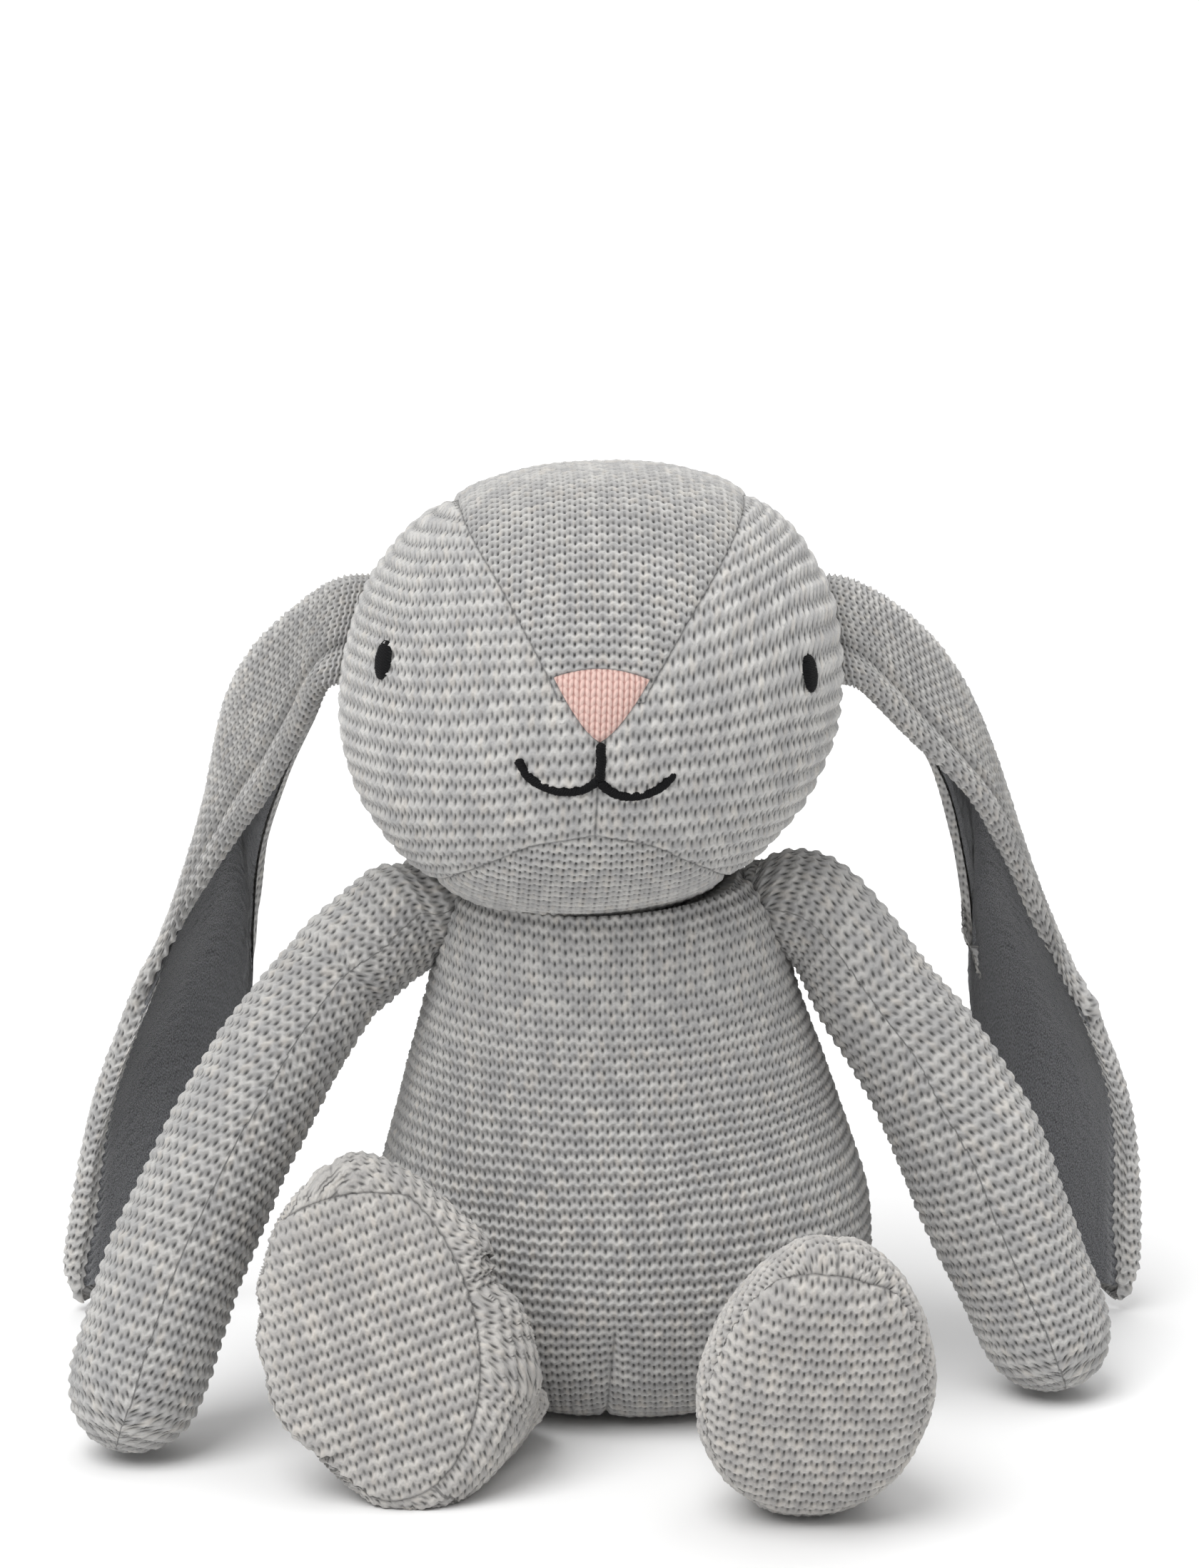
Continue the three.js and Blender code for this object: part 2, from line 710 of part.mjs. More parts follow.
/** Everything in front of the sole's edge, moved back along the sole's normal by a distance. */
function soleCutter(leg, back) {
  const { toe, soleWidth, soleNormal } = legFrame(leg);
  const geometry = new THREE.BoxGeometry(120, 140, 40);
  geometry.translate(0, 0, 20);
  const place = new THREE.Matrix4().makeBasis(soleWidth, toe, soleNormal);
  place.setPosition(vec(...leg.sole).addScaledVector(soleNormal, -back));
  return solid(geometry.applyMatrix4(place));
}

function leg(name) {
  const shape = LEGS[name];
  const group = new THREE.Group();
  const cover = legSolid(shape, 0, 0.01).subtract(legSolid(shape, KNIT, -0.02));
  group.add(piece(`${name}_leg_cover`, cover.subtract(soleCutter(shape, GAP)), "knit"));
  group.add(piece(`${name}_sole_panel`, cover.intersect(soleCutter(shape, 0)), "knit"));
  group.add(piece(`${name}_leg_stuffing`, legSolid(shape, KNIT + GAP, 0.04), "stuffing"));
  return group;
}

function hipSeam(name) {
  const { heading, width } = legFrame(LEGS[name]);
  const centre = vec(...LEGS[name].hip).addScaledVector(heading, -1.3);
  const loop = threadLoop(centre, width.clone().multiplyScalar(11), vec(0, 0, 2), THREAD, 18);
  return piece(`${name}_hip_seam`, loop, "seam");
}

// ---------------------------------------------------------------- the rabbit

const rabbit = new THREE.Group();
rabbit.add(body(), closingSeam(), tail(), neckSeam(), head());
for (const [side, name] of [[-1, "left"], [1, "right"]]) {
  rabbit.add(ear(side, name), arm(side, name), shoulderSeam(side, name), leg(name), hipSeam(name));
}
export default rabbit;
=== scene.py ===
"""A sitting stuffed rabbit in garter-stitch knit: the looks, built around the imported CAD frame.

Shapes are worked out in millimetres, in the CAD model's own axes: +Z up, -Y the way the rabbit faces. Left
and right are as seen from in front of it, so that left is -X. Each stuffed part starts from its CAD filling,
which is puffed by cloth simulation. The knitted cover is then laid over it as a fine grid, and every stitch
is real relief in that grid.
"""
import json
import math

import bpy
import numpy as np
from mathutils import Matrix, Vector
from mathutils.bvhtree import BVHTree

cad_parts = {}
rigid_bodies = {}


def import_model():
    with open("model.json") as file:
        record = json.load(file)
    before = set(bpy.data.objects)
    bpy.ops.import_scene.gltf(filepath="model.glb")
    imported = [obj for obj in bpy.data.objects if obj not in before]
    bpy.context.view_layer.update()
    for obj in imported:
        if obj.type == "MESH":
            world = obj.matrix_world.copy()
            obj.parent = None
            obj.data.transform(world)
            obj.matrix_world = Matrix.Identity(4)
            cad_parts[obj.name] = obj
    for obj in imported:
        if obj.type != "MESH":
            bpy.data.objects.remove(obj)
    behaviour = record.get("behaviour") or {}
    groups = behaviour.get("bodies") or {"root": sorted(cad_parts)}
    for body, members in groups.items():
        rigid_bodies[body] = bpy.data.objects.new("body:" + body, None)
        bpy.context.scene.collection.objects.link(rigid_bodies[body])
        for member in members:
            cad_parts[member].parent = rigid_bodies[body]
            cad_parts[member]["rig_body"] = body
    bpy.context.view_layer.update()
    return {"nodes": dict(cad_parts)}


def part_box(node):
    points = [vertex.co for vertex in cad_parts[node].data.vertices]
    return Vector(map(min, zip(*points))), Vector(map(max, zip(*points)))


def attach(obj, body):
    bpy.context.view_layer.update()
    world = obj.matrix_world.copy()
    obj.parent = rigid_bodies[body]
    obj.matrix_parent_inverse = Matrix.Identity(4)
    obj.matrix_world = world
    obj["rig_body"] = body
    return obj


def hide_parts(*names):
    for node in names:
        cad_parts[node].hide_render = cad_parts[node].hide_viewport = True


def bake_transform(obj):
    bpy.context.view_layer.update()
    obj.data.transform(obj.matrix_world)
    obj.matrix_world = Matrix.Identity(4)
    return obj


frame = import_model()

MM = 0.001

# ---------------------------------------------------------------- driving sizes, in mm and degrees

COVER = 1.3  # from the filling's surface to the middle of the knit
WALE = 2.95  # width of one stitch
CELL = 0.5  # spacing of the fine grids along a part
CELL_AROUND, LINING_CELL = 0.43, 0.8
RELIEF = 1.35  # height of a garter ridge over the hollow beside it
STITCH_BEND = 0.13  # how far a ridge arches over each stitch, as a share of the pitch
SLIT_DEPTH, SLIT_SWING = 0.84, 0.16  # mean depth of the two slits of a stitch, and how much they differ
SEAM_DEPTH, SEAM_WIDTH = 0.75, 0.9
PANEL_CROWN, CROWN_REACH = 0.6, 7  # a panel stands this much prouder, this far from its seams
TURN_IN = 1.5  # how deep the cut edge of a panel is turned inwards
FLOOR_GAP = 0.15  # between the floor and the lowest stitches
UNBOUNDED = 99.0  # stands for the distance to an edge or a sewn line that is not there

HEAD_CENTRE = np.array([-8.6, -8.0, 202.2])
HEAD_HALF = np.array([71.5, 60.5, 64.4])  # half of its width, depth and height
HEAD_YAW, HEAD_ROLL = 2.6, 2.0
GUSSET_PITCH, HEAD_PITCH, BODY_PITCH = 2.85, 4.2, 3.25  # from ridge to ridge
ARM_PITCH, FOOT_PITCH, EAR_PITCH, NOSE_PITCH = 3.9, 3.8, 3.6, 2.2
CHAIN_PITCH, CHAIN_SLANT = 2.6, 0.3  # of the chain stitches that hold the ear's lining

VOXEL, TAIL_VOXEL = 4.5, 2.6  # cells of the fillings that are puffed
SIM_FRAMES = 18
SIM_PRESSURE = 4.0
SIM_REACH = 1.8  # the farthest a point of the filling may move
CAST_STEP = 3.0  # spacing of the coarse grid that is cast onto the puffed filling
FILLING_GAP = 1.8  # how far the filling is drawn in under its cover, once the cover is made

SIDES = ((-1, "left"), (1, "right"))

CAMERA_PLACE = (-0.006, -1.272, 0.445)  # in metres
CAMERA_TILT, LENS = 78, 106.5
SURROUNDING_LIGHT = 0.42

# ---------------------------------------------------------------- small maths helpers

def unit(v):
    return v / np.maximum(np.linalg.norm(v, axis=-1, keepdims=True), 1e-9)


def smooth(low, high, x):
    t = np.clip((np.asarray(x, float) - low) / (high - low), 0, 1)
    return t * t * (3 - 2 * t)


def mix(a, b, t):
    return a + (b - a) * t


def bell(x, width):
    return np.exp(-((x / width) ** 2))


def from_nearest(x, centre):
    """The signed distance from the nearest whole number plus centre."""
    return (x - centre + 0.5) % 1 - 0.5


def length_along(points, axis=0):
    """The length run through an array of points along one of its axes, from 0."""
    steps = np.linalg.norm(np.diff(points, axis=axis), axis=-1)
    start = np.zeros_like(np.take(steps, [0], axis=axis))
    return np.concatenate([start, np.cumsum(steps, axis=axis)], axis=axis)


def read_off(at, run, rows):
    """Rows of three numbers, known at the places run, read off at the places at."""
    return np.stack([np.interp(at, run, rows[:, k]) for k in range(3)], axis=1)


def soft_curve(points, blur):
    """A function through (position, value) points, with its corners rounded over the blur distance."""
    at, value = np.array(points, float).T
    dense = np.linspace(at[0] - blur, at[-1] + blur, 400)
    width = max(1, int(blur / (dense[1] - dense[0])))
    padded = np.pad(np.interp(dense, at, value), width, mode="edge")
    kernel = np.hanning(2 * width + 1)
    rounded = np.convolve(padded, kernel / kernel.sum(), mode="valid")
    return lambda x: np.interp(x, dense, rounded)


def spline(knots, t):
    """Catmull-Rom through the rows of knots, the first and last of which only steer. t runs from 0."""
    i = np.clip(np.floor(t).astype(int), 0, len(knots) - 4)
    f = (t - i).reshape((-1,) + (1,) * (knots.ndim - 1))
    a, b, c, d = knots[i], knots[i + 1], knots[i + 2], knots[i + 3]
    return 0.5 * (2 * b + (c - a) * f + (2 * a - 5 * b + 4 * c - d) * f**2 + (3 * b - a - 3 * c + d) * f**3)


def through(points, t):
    """The point at t, from 0 to 1, on a smooth curve through points."""
    p = np.array(points, float)
    knots = np.vstack([2 * p[0] - p[1], p, 2 * p[-1] - p[-2]])
    return spline(knots, np.asarray(t, float) * (len(p) - 1))


def waves(x, y, wavelength, seed):
    """Smooth, repeatable unevenness between about -1 and 1."""
    draw = np.random.default_rng(seed)
    total = np.zeros_like(np.asarray(x, float))
    for _ in range(5):
        angle, phase = draw.uniform(0, 2 * np.pi, 2)
        k = 2 * np.pi / (wavelength * draw.uniform(0.7, 1.5))
        total += np.sin(k * (x * np.cos(angle) + y * np.sin(angle)) + phase)
    return total / 3


def per_stitch(column, row, seed):
    """A repeatable random number from 0 to 1 for each stitch."""
    value = np.sin(column * 12.9898 + row * 78.233 + seed * 3.17) * 43758.5453
    return value - np.floor(value)


# ---------------------------------------------------------------- knitting

def garter(u, v, wale, pitch):
    """Height from 0 to 1 of garter stitch: arched ridges, and two slits to each stitch in the hollows."""
    swing = np.cos(2 * np.pi * u / wale)
    across = v / pitch - STITCH_BEND * swing
    ridge = bell(from_nearest(across, 0.25), 0.20)
    slit = bell(1 - np.abs(swing), 0.24) * (SLIT_DEPTH - SLIT_SWING * swing)
    low = bell(from_nearest(across, 0.74), 0.22)
    lively = 0.86 + 0.28 * per_stitch(np.round(u / wale), np.floor(across), 5)
    return 0.36 + 0.58 * ridge * (0.88 + 0.12 * swing) * lively - 0.36 * slit * low


def stocking(u, v, wale, pitch):
    """Height from 0 to 1 of stocking stitch: columns of V shapes, two slanting legs to each stitch."""
    column = u / wale - np.floor(u / wale)
    leg = np.abs(column - 0.5) * 2
    rise = v / pitch + 0.55 * leg
    f = rise - np.floor(rise)
    strand = np.clip(1 - ((leg - 0.5) / 0.5) ** 2, 0, 1) ** 0.5
    return strand * (0.55 + 0.45 * np.sin(np.pi * f) ** 0.7)


# ---------------------------------------------------------------- meshes

def mesh_from(name, points, faces, attributes):
    """A mesh from points in mm, a list of equal-sided face arrays, and one vector attribute for each name."""
    mesh = bpy.data.meshes.new(name)
    mesh.vertices.add(len(points))
    mesh.vertices.foreach_set("co", (points * MM).astype(np.float32).ravel())
    corners = np.concatenate([f.ravel() for f in faces if len(f)]).astype(np.int32)
    sides = np.concatenate([np.full(len(f), f.shape[1]) for f in faces if len(f)])
    starts = np.concatenate([[0], np.cumsum(sides)[:-1]]).astype(np.int32)
    mesh.loops.add(len(corners))
    mesh.loops.foreach_set("vertex_index", corners)
    mesh.polygons.add(len(sides))
    mesh.polygons.foreach_set("loop_start", starts)
    mesh.polygons.foreach_set("use_smooth", np.ones(len(sides), bool))
    mesh.update(calc_edges=True)
    for key, values in attributes.items():
        layer = mesh.attributes.new(key, "FLOAT_VECTOR", "POINT")
        layer.data.foreach_set("vector", values.astype(np.float32).ravel())
    return mesh


def placed(name, data):
    """A new object in the scene."""
    ob = bpy.data.objects.new(name, data)
    bpy.context.scene.collection.objects.link(ob)
    return ob


def add_piece(name, mesh, material, body, node):
    """Adds a piece that takes the place of a CAD node and rides on a body, unless body is None."""
    ob = placed(name, mesh)
    mesh.materials.append(material)
    if body:
        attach(ob, body)
    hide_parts(node)
    return ob


def grid_faces(rows, columns, closed):
    """Quads of a grid, row by row, turned so that they face along the cross of rows and columns."""
    index = np.arange(rows * columns).reshape(rows, columns)
    right = np.roll(index, -1, axis=1) if closed else index[:, 1:]
    left = index if closed else index[:, :-1]
    quads = np.stack([left[:-1], right[:-1], right[1:], left[1:]], axis=-1)
    return quads.reshape(-1, 4)


def clipped(points, normals, knit, inside, quads):
    """The part of a surface where inside is above 0, cut exactly at 0, with its cut edge turned inwards.

    Returns points, faces and the knit attribute of the points that are left.
    """
    keep = inside > 0
    count = keep[quads].sum(axis=1)
    whole = quads[count == 4]
    new_points, new_normals, new_knit = [], [], []
    cut_at = {}

    def cut_edge(a, b):
        key = (min(a, b), max(a, b))
        if key not in cut_at:
            t = inside[key[0]] / (inside[key[0]] - inside[key[1]])
            cut_at[key] = len(points) + len(new_points)
            new_points.append(mix(points[key[0]], points[key[1]], t))
            new_normals.append(mix(normals[key[0]], normals[key[1]], t))
            new_knit.append(mix(knit[key[0]], knit[key[1]], t))
        return cut_at[key]

    pole = (whole[:, 0] == whole[:, 1]) | (whole[:, 2] == whole[:, 3])
    ends = whole[pole]
    at_start = (ends[:, 0] == ends[:, 1])[:, None]
    fans = np.where(at_start, ends[:, [0, 2, 3]], ends[:, :3])
    by_sides, rim = {3: fans.tolist(), 4: [], 5: []}, []
    for quad in quads[(count > 0) & (count < 4)]:
        corners, cuts = [], []
        for k in range(4):
            a, b = int(quad[k]), int(quad[(k + 1) % 4])
            if keep[a] and a not in corners:
                corners.append(a)
            if keep[a] != keep[b]:
                made = cut_edge(a, b)
                corners.append(made)
                cuts.append((len(corners) - 1, made))
        if len(cuts) == 2:
            (i, first), (j, second) = cuts
            rim.append((second, first) if (i + 1) % len(corners) == j else (first, second))
        if len(corners) in by_sides:
            by_sides[len(corners)].append(corners)
    all_points = np.vstack([points, *new_points])
    all_normals = np.vstack([normals, *new_normals])
    all_knit = np.vstack([knit, *new_knit])
    faces = [whole[~pole]] + [np.array(f) for f in by_sides.values() if f]
    if rim:
        rim = np.array(rim)
        edge = np.unique(rim)
        below = np.full(len(all_points), -1)
        below[edge] = len(all_points) + np.arange(len(edge))
        all_points = np.vstack([all_points, all_points[edge] - all_normals[edge] * TURN_IN])
        all_knit = np.vstack([all_knit, all_knit[edge]])
        faces.append(np.stack([rim[:, 0], rim[:, 1], below[rim[:, 1]], below[rim[:, 0]]], axis=1))
    used = np.unique(np.concatenate([f.ravel() for f in faces]))
    fresh = np.full(len(all_points), -1)
    fresh[used] = np.arange(len(used))
    return all_points[used], [fresh[f] for f in faces], all_knit[used]


# ---------------------------------------------------------------- puffed fillings, by cloth simulation

STUFFED = ("head", "body", "left_arm", "right_arm", "left_leg", "right_leg", "tail")


def evaluated_mesh(ob):
    graph = bpy.context.evaluated_depsgraph_get()
    return bpy.data.meshes.new_from_object(ob.evaluated_get(graph))


def coordinates(mesh):
    flat = np.empty(len(mesh.vertices) * 3, np.float32)
    mesh.vertices.foreach_get("co", flat)
    return flat.reshape(-1, 3).astype(float)


def remeshed(node):
    """A copy of a CAD filling as an even skin with its facets smoothed away."""
    ob = placed(f"{node}_padded", frame["nodes"][node].data.copy())
    ob.data.materials.clear()
    fine = ob.modifiers.new("even", "REMESH")
    fine.mode = "VOXEL"
    fine.voxel_size = (TAIL_VOXEL if node == "tail_stuffing" else VOXEL) * MM
    soften = ob.modifiers.new("round", "SMOOTH")
    soften.factor = 0.5
    soften.iterations = 4
    mesh = evaluated_mesh(ob)
    ob.modifiers.clear()
    ob.data = mesh
    return ob


def add_cloth(ob):
    cloth = ob.modifiers.new("puff", "CLOTH")
    cloth.settings.quality = 4
    cloth.settings.use_pressure = True
    cloth.settings.uniform_pressure_force = SIM_PRESSURE
    cloth.settings.effector_weights.gravity = 0
    cloth.settings.tension_stiffness = 20
    cloth.settings.compression_stiffness = 10
    cloth.settings.bending_stiffness = 0.3
    cloth.collision_settings.use_collision = False
    cloth.point_cache.frame_end = SIM_FRAMES


def puffed_fillings():
    forms = {f"{part}_stuffing": remeshed(f"{part}_stuffing") for part in STUFFED}
    before = {node: coordinates(ob.data) for node, ob in forms.items()}
    for ob in forms.values():
        add_cloth(ob)
    for number in range(1, SIM_FRAMES + 1):
        bpy.context.scene.frame_set(number)
    for node, ob in forms.items():
        settled = evaluated_mesh(ob)
        ob.modifiers.clear()
        moved = coordinates(settled) - before[node]
        length = np.linalg.norm(moved, axis=1, keepdims=True)
        reach = SIM_REACH * MM
        moved *= np.minimum(1, reach / np.maximum(length, 1e-9))
        ob.data.vertices.foreach_set("co", (before[node] + moved).astype(np.float32).ravel())
        ob.data.update()
    bpy.context.scene.frame_set(1)
    return forms


def shrunk(ob, depth):
    """Draws a filling's skin inwards, so that its cover has room."""
    points = coordinates(ob.data)
    normals = np.empty(points.size, np.float32)
    ob.data.vertices.foreach_get("normal", normals)
    points -= normals.reshape(-1, 3) * depth * MM
    ob.data.vertices.foreach_set("co", points.astype(np.float32).ravel())
    ob.data.update()


def tree_of(ob):
    """A ray-casting tree of a mesh, in mm."""
    points = [tuple(p) for p in coordinates(ob.data) / MM]
    return BVHTree.FromPolygons(points, [tuple(p.vertices) for p in ob.data.polygons])


# ---------------------------------------------------------------- fine grids over the fillings

FAR = 160.0  # rays start this far from a part's spine, outside every filling


def cast(tree, origins, directions):
    """Where rays that come in from far outside, towards each origin, meet the filling."""
    hits = np.empty_like(directions)
    last = 10.0
    for k, (o, d) in enumerate(zip(origins, directions)):
        _, _, _, distance = tree.ray_cast(Vector(o + d * FAR), Vector(-d))
        if distance is not None and distance < FAR:
            last = FAR - distance
        hits[k] = o + d * last
    return hits


def capsule(tree, spine, reference, girth):
    """A fine closed grid over a filling: rings along a spine, with a round cap at each end.

    Returns the points (rows, columns, 3), whose first column lies towards the reference direction, and the
    length along the surface at each row. girth is roughly the length of a ring.
    """
    spine = np.array(spine, float)
    if len(spine) == 1:
        path, along = spine, unit(np.array([[1.0, 0, 0]]))
    else:
        t = np.linspace(0, 1, 200)
        dense = through(spine, t)
        run = length_along(dense)
        count = max(2, int(run[-1] / CAST_STEP))
        even = np.interp(np.linspace(0, run[-1], count), run, t)
        path = through(spine, even)
        along = unit(np.gradient(path, axis=0))
    quarter = max(5, int(girth / 4 / CAST_STEP))
    tilts = np.linspace(0, np.pi / 2, quarter + 1)[1:]
    first = [(path[0], along[0], -tilt) for tilt in tilts[::-1]]
    middle = [(o, a, 0.0) for o, a in zip(path, along)]
    last = [(path[-1], along[-1], tilt) for tilt in tilts]
    rows = first + middle + last
    columns = 4 * quarter
    around = 2 * np.pi * np.arange(columns) / columns
    origins, directions = [], []
    for o, a, tilt in rows:
        side = unit(reference - a * (reference @ a))
        other = np.cross(a, side)
        ring = np.outer(np.cos(around), side) + np.outer(np.sin(around), other)
        directions.append(ring * math.cos(tilt) + a * math.sin(tilt))
        origins.append(np.broadcast_to(o, ring.shape))
    shape = (len(rows), columns, 3)
    coarse = cast(tree, np.concatenate(origins), np.concatenate(directions)).reshape(shape)
    for _ in range(2):
        coarse = blurred(coarse)
    return refined(coarse)


def with_end_rows(grid):
    """Adds a steering row past each pole: the row on the pole's far side."""
    half = grid.shape[1] // 2
    before = np.roll(grid[1], half, axis=0)
    after = np.roll(grid[-2], half, axis=0)
    return np.concatenate([before[None], grid, after[None]])


def blurred(grid):
    """A light smoothing along rows and columns, with each pole kept as one point."""
    wide = with_end_rows(grid)
    out = 0.5 * grid + 0.125 * (wide[:-2] + wide[2:] + np.roll(grid, 1, axis=1) + np.roll(grid, -1, axis=1))
    for pole in (0, -1):
        out[pole] = out[pole].mean(axis=0)
    return out


def refined(coarse):
    """A fine grid through a coarse one, and the length along the surface at each of its rows."""
    steps = np.linalg.norm(np.diff(coarse, axis=0), axis=2).mean(axis=1)
    run = np.concatenate([[0], np.cumsum(steps)])
    length = np.linspace(0, run[-1], int(run[-1] / CELL))
    t = np.interp(length, run, np.arange(len(run)))
    fine = spline(with_end_rows(coarse), t)
    girth = np.linalg.norm(fine - np.roll(fine, 1, axis=1), axis=2).sum(axis=1).max()
    columns = int(girth / CELL_AROUND) // 2 * 2
    turned = fine.transpose(1, 0, 2)
    wrapped = np.concatenate([turned[-1:], turned, turned[:2]])
    fine = spline(wrapped, np.arange(columns) * (len(turned) / columns)).transpose(1, 0, 2)
    return fine, length


def normals_of(grid, closed=True):
    """Unit normals of a grid. The normals at a pole are those of the row beside it."""
    if closed:
        across = np.roll(grid, -1, axis=1) - np.roll(grid, 1, axis=1)
    else:
        across = np.gradient(grid, axis=1)
    along = np.gradient(grid, axis=0)
    normal = np.cross(across, along)
    flat = np.linalg.norm(normal, axis=2) < 1e-7
    normal = unit(normal)
    for end in (0, -1):
        if flat[end].any():
            inner = 1 if end == 0 else -2
            normal[end] = unit(normal[inner].mean(axis=0))
    return normal


def ring_length(grid):
    """Signed length along each ring, from the reference column to either side."""
    step = np.linalg.norm(np.roll(grid, -1, axis=1) - grid, axis=2)
    run = np.cumsum(step, axis=1) - step
    total = step.sum(axis=1, keepdims=True)
    return np.where(run > total / 2, run - total, run)


# ---------------------------------------------------------------- knitted panels

class Cover:
    """The fine grid of a whole stuffed part, from which its sewn panels are cut."""

    def __init__(self, tree, spine, reference, girth):
        self.grid, self.length = capsule(tree, spine, np.array(reference, float), girth)
        self.prepare()

    def prepare(self):
        """Works out everything that follows from the grid, which lies on the filling."""
        rows, columns = self.grid.shape[:2]
        self.normals = normals_of(self.grid)
        self.points = self.grid.reshape(-1, 3) + self.normals.reshape(-1, 3) * COVER
        self.flat_normals = self.normals.reshape(-1, 3)
        self.around = ring_length(self.grid).ravel()
        self.along = np.repeat(self.length, columns)
        self.quads = grid_faces(rows, columns, True)
        self.shape = rows, columns
        last = (rows - 1) * columns
        self.quads[self.quads >= last] = last
        self.quads[self.quads < columns] = 0

    def swell(self, offset):
        self.points += self.flat_normals * offset[:, None]

    def measure(self):
        """Measures the lengths round and along the cover again, along each column by itself."""
        grid = self.points.reshape(*self.shape, 3)
        self.around = ring_length(grid).ravel()
        self.along = length_along(grid).ravel()

    def panel(self, name, node, inside, u, v, look, body, pitch, slot="grey_knit", stitch=garter, relief=RELIEF,
              crease=UNBOUNDED):
        """Cuts out one panel, lays its stitches on it, and adds it as the piece that replaces a CAD node.

        inside is the distance to the panel's edge, below 0 outside it. u and v are the places along and across
        the ridges. crease is the distance from a line where the panel is drawn in, as at a dart. The knit
        material darkens the colour near the edge and the crease as painted shade.
        """
        to_seam = np.minimum(inside, np.abs(crease))
        near_seam = bell(to_seam, SEAM_WIDTH)
        height = stitch(u, v, WALE, pitch) - 0.5
        lift = relief * height * (1 - 0.75 * near_seam) - SEAM_DEPTH * near_seam
        lift += PANEL_CROWN * smooth(0, CROWN_REACH, to_seam)
        points = self.points + self.flat_normals * lift[:, None]
        points[:, 2] = np.maximum(points[:, 2], FLOOR_GAP)
        knit = np.stack([u, v, to_seam], axis=1)
        made, faces, left = clipped(points, self.flat_normals, knit, inside, self.quads)
        add_piece(name, mesh_from(name, made, faces, {"knit": left}), look, body, node)


# ---------------------------------------------------------------- materials

class Value:
    """A number on a node's socket. Sums, differences and products of values are maths nodes in its tree."""

    def __init__(self, tree, socket):
        self.tree = tree
        self.socket = socket

    def __add__(self, other):
        return self.tree.math("ADD", self, other)

    def __sub__(self, other):
        return self.tree.math("SUBTRACT", self, other)

    def __rsub__(self, other):
        return self.tree.math("SUBTRACT", other, self)

    def __mul__(self, other):
        return self.tree.math("MULTIPLY", self, other)

    def __abs__(self):
        return self.tree.math("ABSOLUTE", self)


class Tree:
    """A material's node tree, with short calls for the nodes that the materials use."""

    def __init__(self, name):
        self.material = bpy.data.materials.new(name)
        self.material.use_nodes = True
        self.nodes = self.material.node_tree.nodes
        self.links = self.material.node_tree.links
        self.principled = self.nodes["Principled BSDF"]

    def add(self, kind, **settings):
        node = self.nodes.new(kind)
        for key, value in settings.items():
            setattr(node, key, value)
        return node

    def feed(self, socket, value):
        if isinstance(value, Value):
            value = value.socket
        if isinstance(value, bpy.types.NodeSocket):
            self.links.new(value, socket)
        else:
            socket.default_value = value

    def math(self, operation, *numbers):
        node = self.add("ShaderNodeMath", operation=operation)
        for socket, number in zip(node.inputs, numbers):
            self.feed(socket, number)
        return Value(self, node.outputs[0])

    def bell(self, x, width):
        scaled = self.math("DIVIDE", x, width)
        return self.math("EXPONENT", scaled * scaled * -1.0)

    def from_nearest(self, x, centre):
        """The signed distance from the nearest whole number plus centre."""
        return self.math("FRACT", x + (0.5 - centre)) - 0.5

    def noise(self, place, detail, scale=1.0):
        """Noise from 0 to 1. place is a socket, or two or three numbers."""
        if isinstance(place, tuple):
            corner = self.add("ShaderNodeCombineXYZ")
            for socket, value in zip(corner.inputs, place):
                self.feed(socket, value)
            place = corner.outputs[0]
        node = self.add("ShaderNodeTexNoise")
        self.feed(node.inputs["Vector"], place)
        node.inputs["Scale"].default_value = scale
        node.inputs["Detail"].default_value = detail
        return Value(self, node.outputs["Fac"])

    def spread(self, x, low, high):
        """Maps low..high to 0..1, clamped and eased."""
        node = self.add("ShaderNodeMapRange", interpolation_type="SMOOTHSTEP")
        self.feed(node.inputs["Value"], x)
        node.inputs["From Min"].default_value = low
        node.inputs["From Max"].default_value = high
        return Value(self, node.outputs["Result"])

    def mixed(self, share, a, b):
        """Colour a where share is 0 and colour b where it is 1."""
        node = self.add("ShaderNodeMix", data_type="RGBA")
        self.feed(node.inputs[0], share)
        sockets = [s for s in node.inputs if s.type == "RGBA"]
        for socket, value in zip(sockets, (a, b)):
            self.feed(socket, (*value, 1.0) if isinstance(value, tuple) else value)
        return next(s for s in node.outputs if s.type == "RGBA")

    def knit_places(self):
        """The three numbers of the knit attribute: places along and across the ridges, distance to a seam."""
        node = self.add("ShaderNodeAttribute", attribute_name="knit")
        parts = self.add("ShaderNodeSeparateXYZ")
        self.links.new(node.outputs["Vector"], parts.inputs[0])
        return [Value(self, socket) for socket in parts.outputs]

    def bump(self, height, distance, strength):
        node = self.add("ShaderNodeBump")
        node.inputs["Distance"].default_value = distance * MM
        node.inputs["Strength"].default_value = strength
        self.feed(node.inputs["Height"], height)
        self.links.new(node.outputs[0], self.principled.inputs["Normal"])

    def finish(self, colour, roughness=0.95, sheen=0.35):
        p = self.principled
        self.feed(p.inputs["Base Color"], colour)
        p.inputs["Roughness"].default_value = roughness
        p.inputs["Specular IOR Level"].default_value = 0.15
        p.inputs["Sheen Weight"].default_value = sheen
        p.inputs["Sheen Roughness"].default_value = 0.6
        return self.material


def darker(colour, share):
    return tuple(share * c for c in colour)


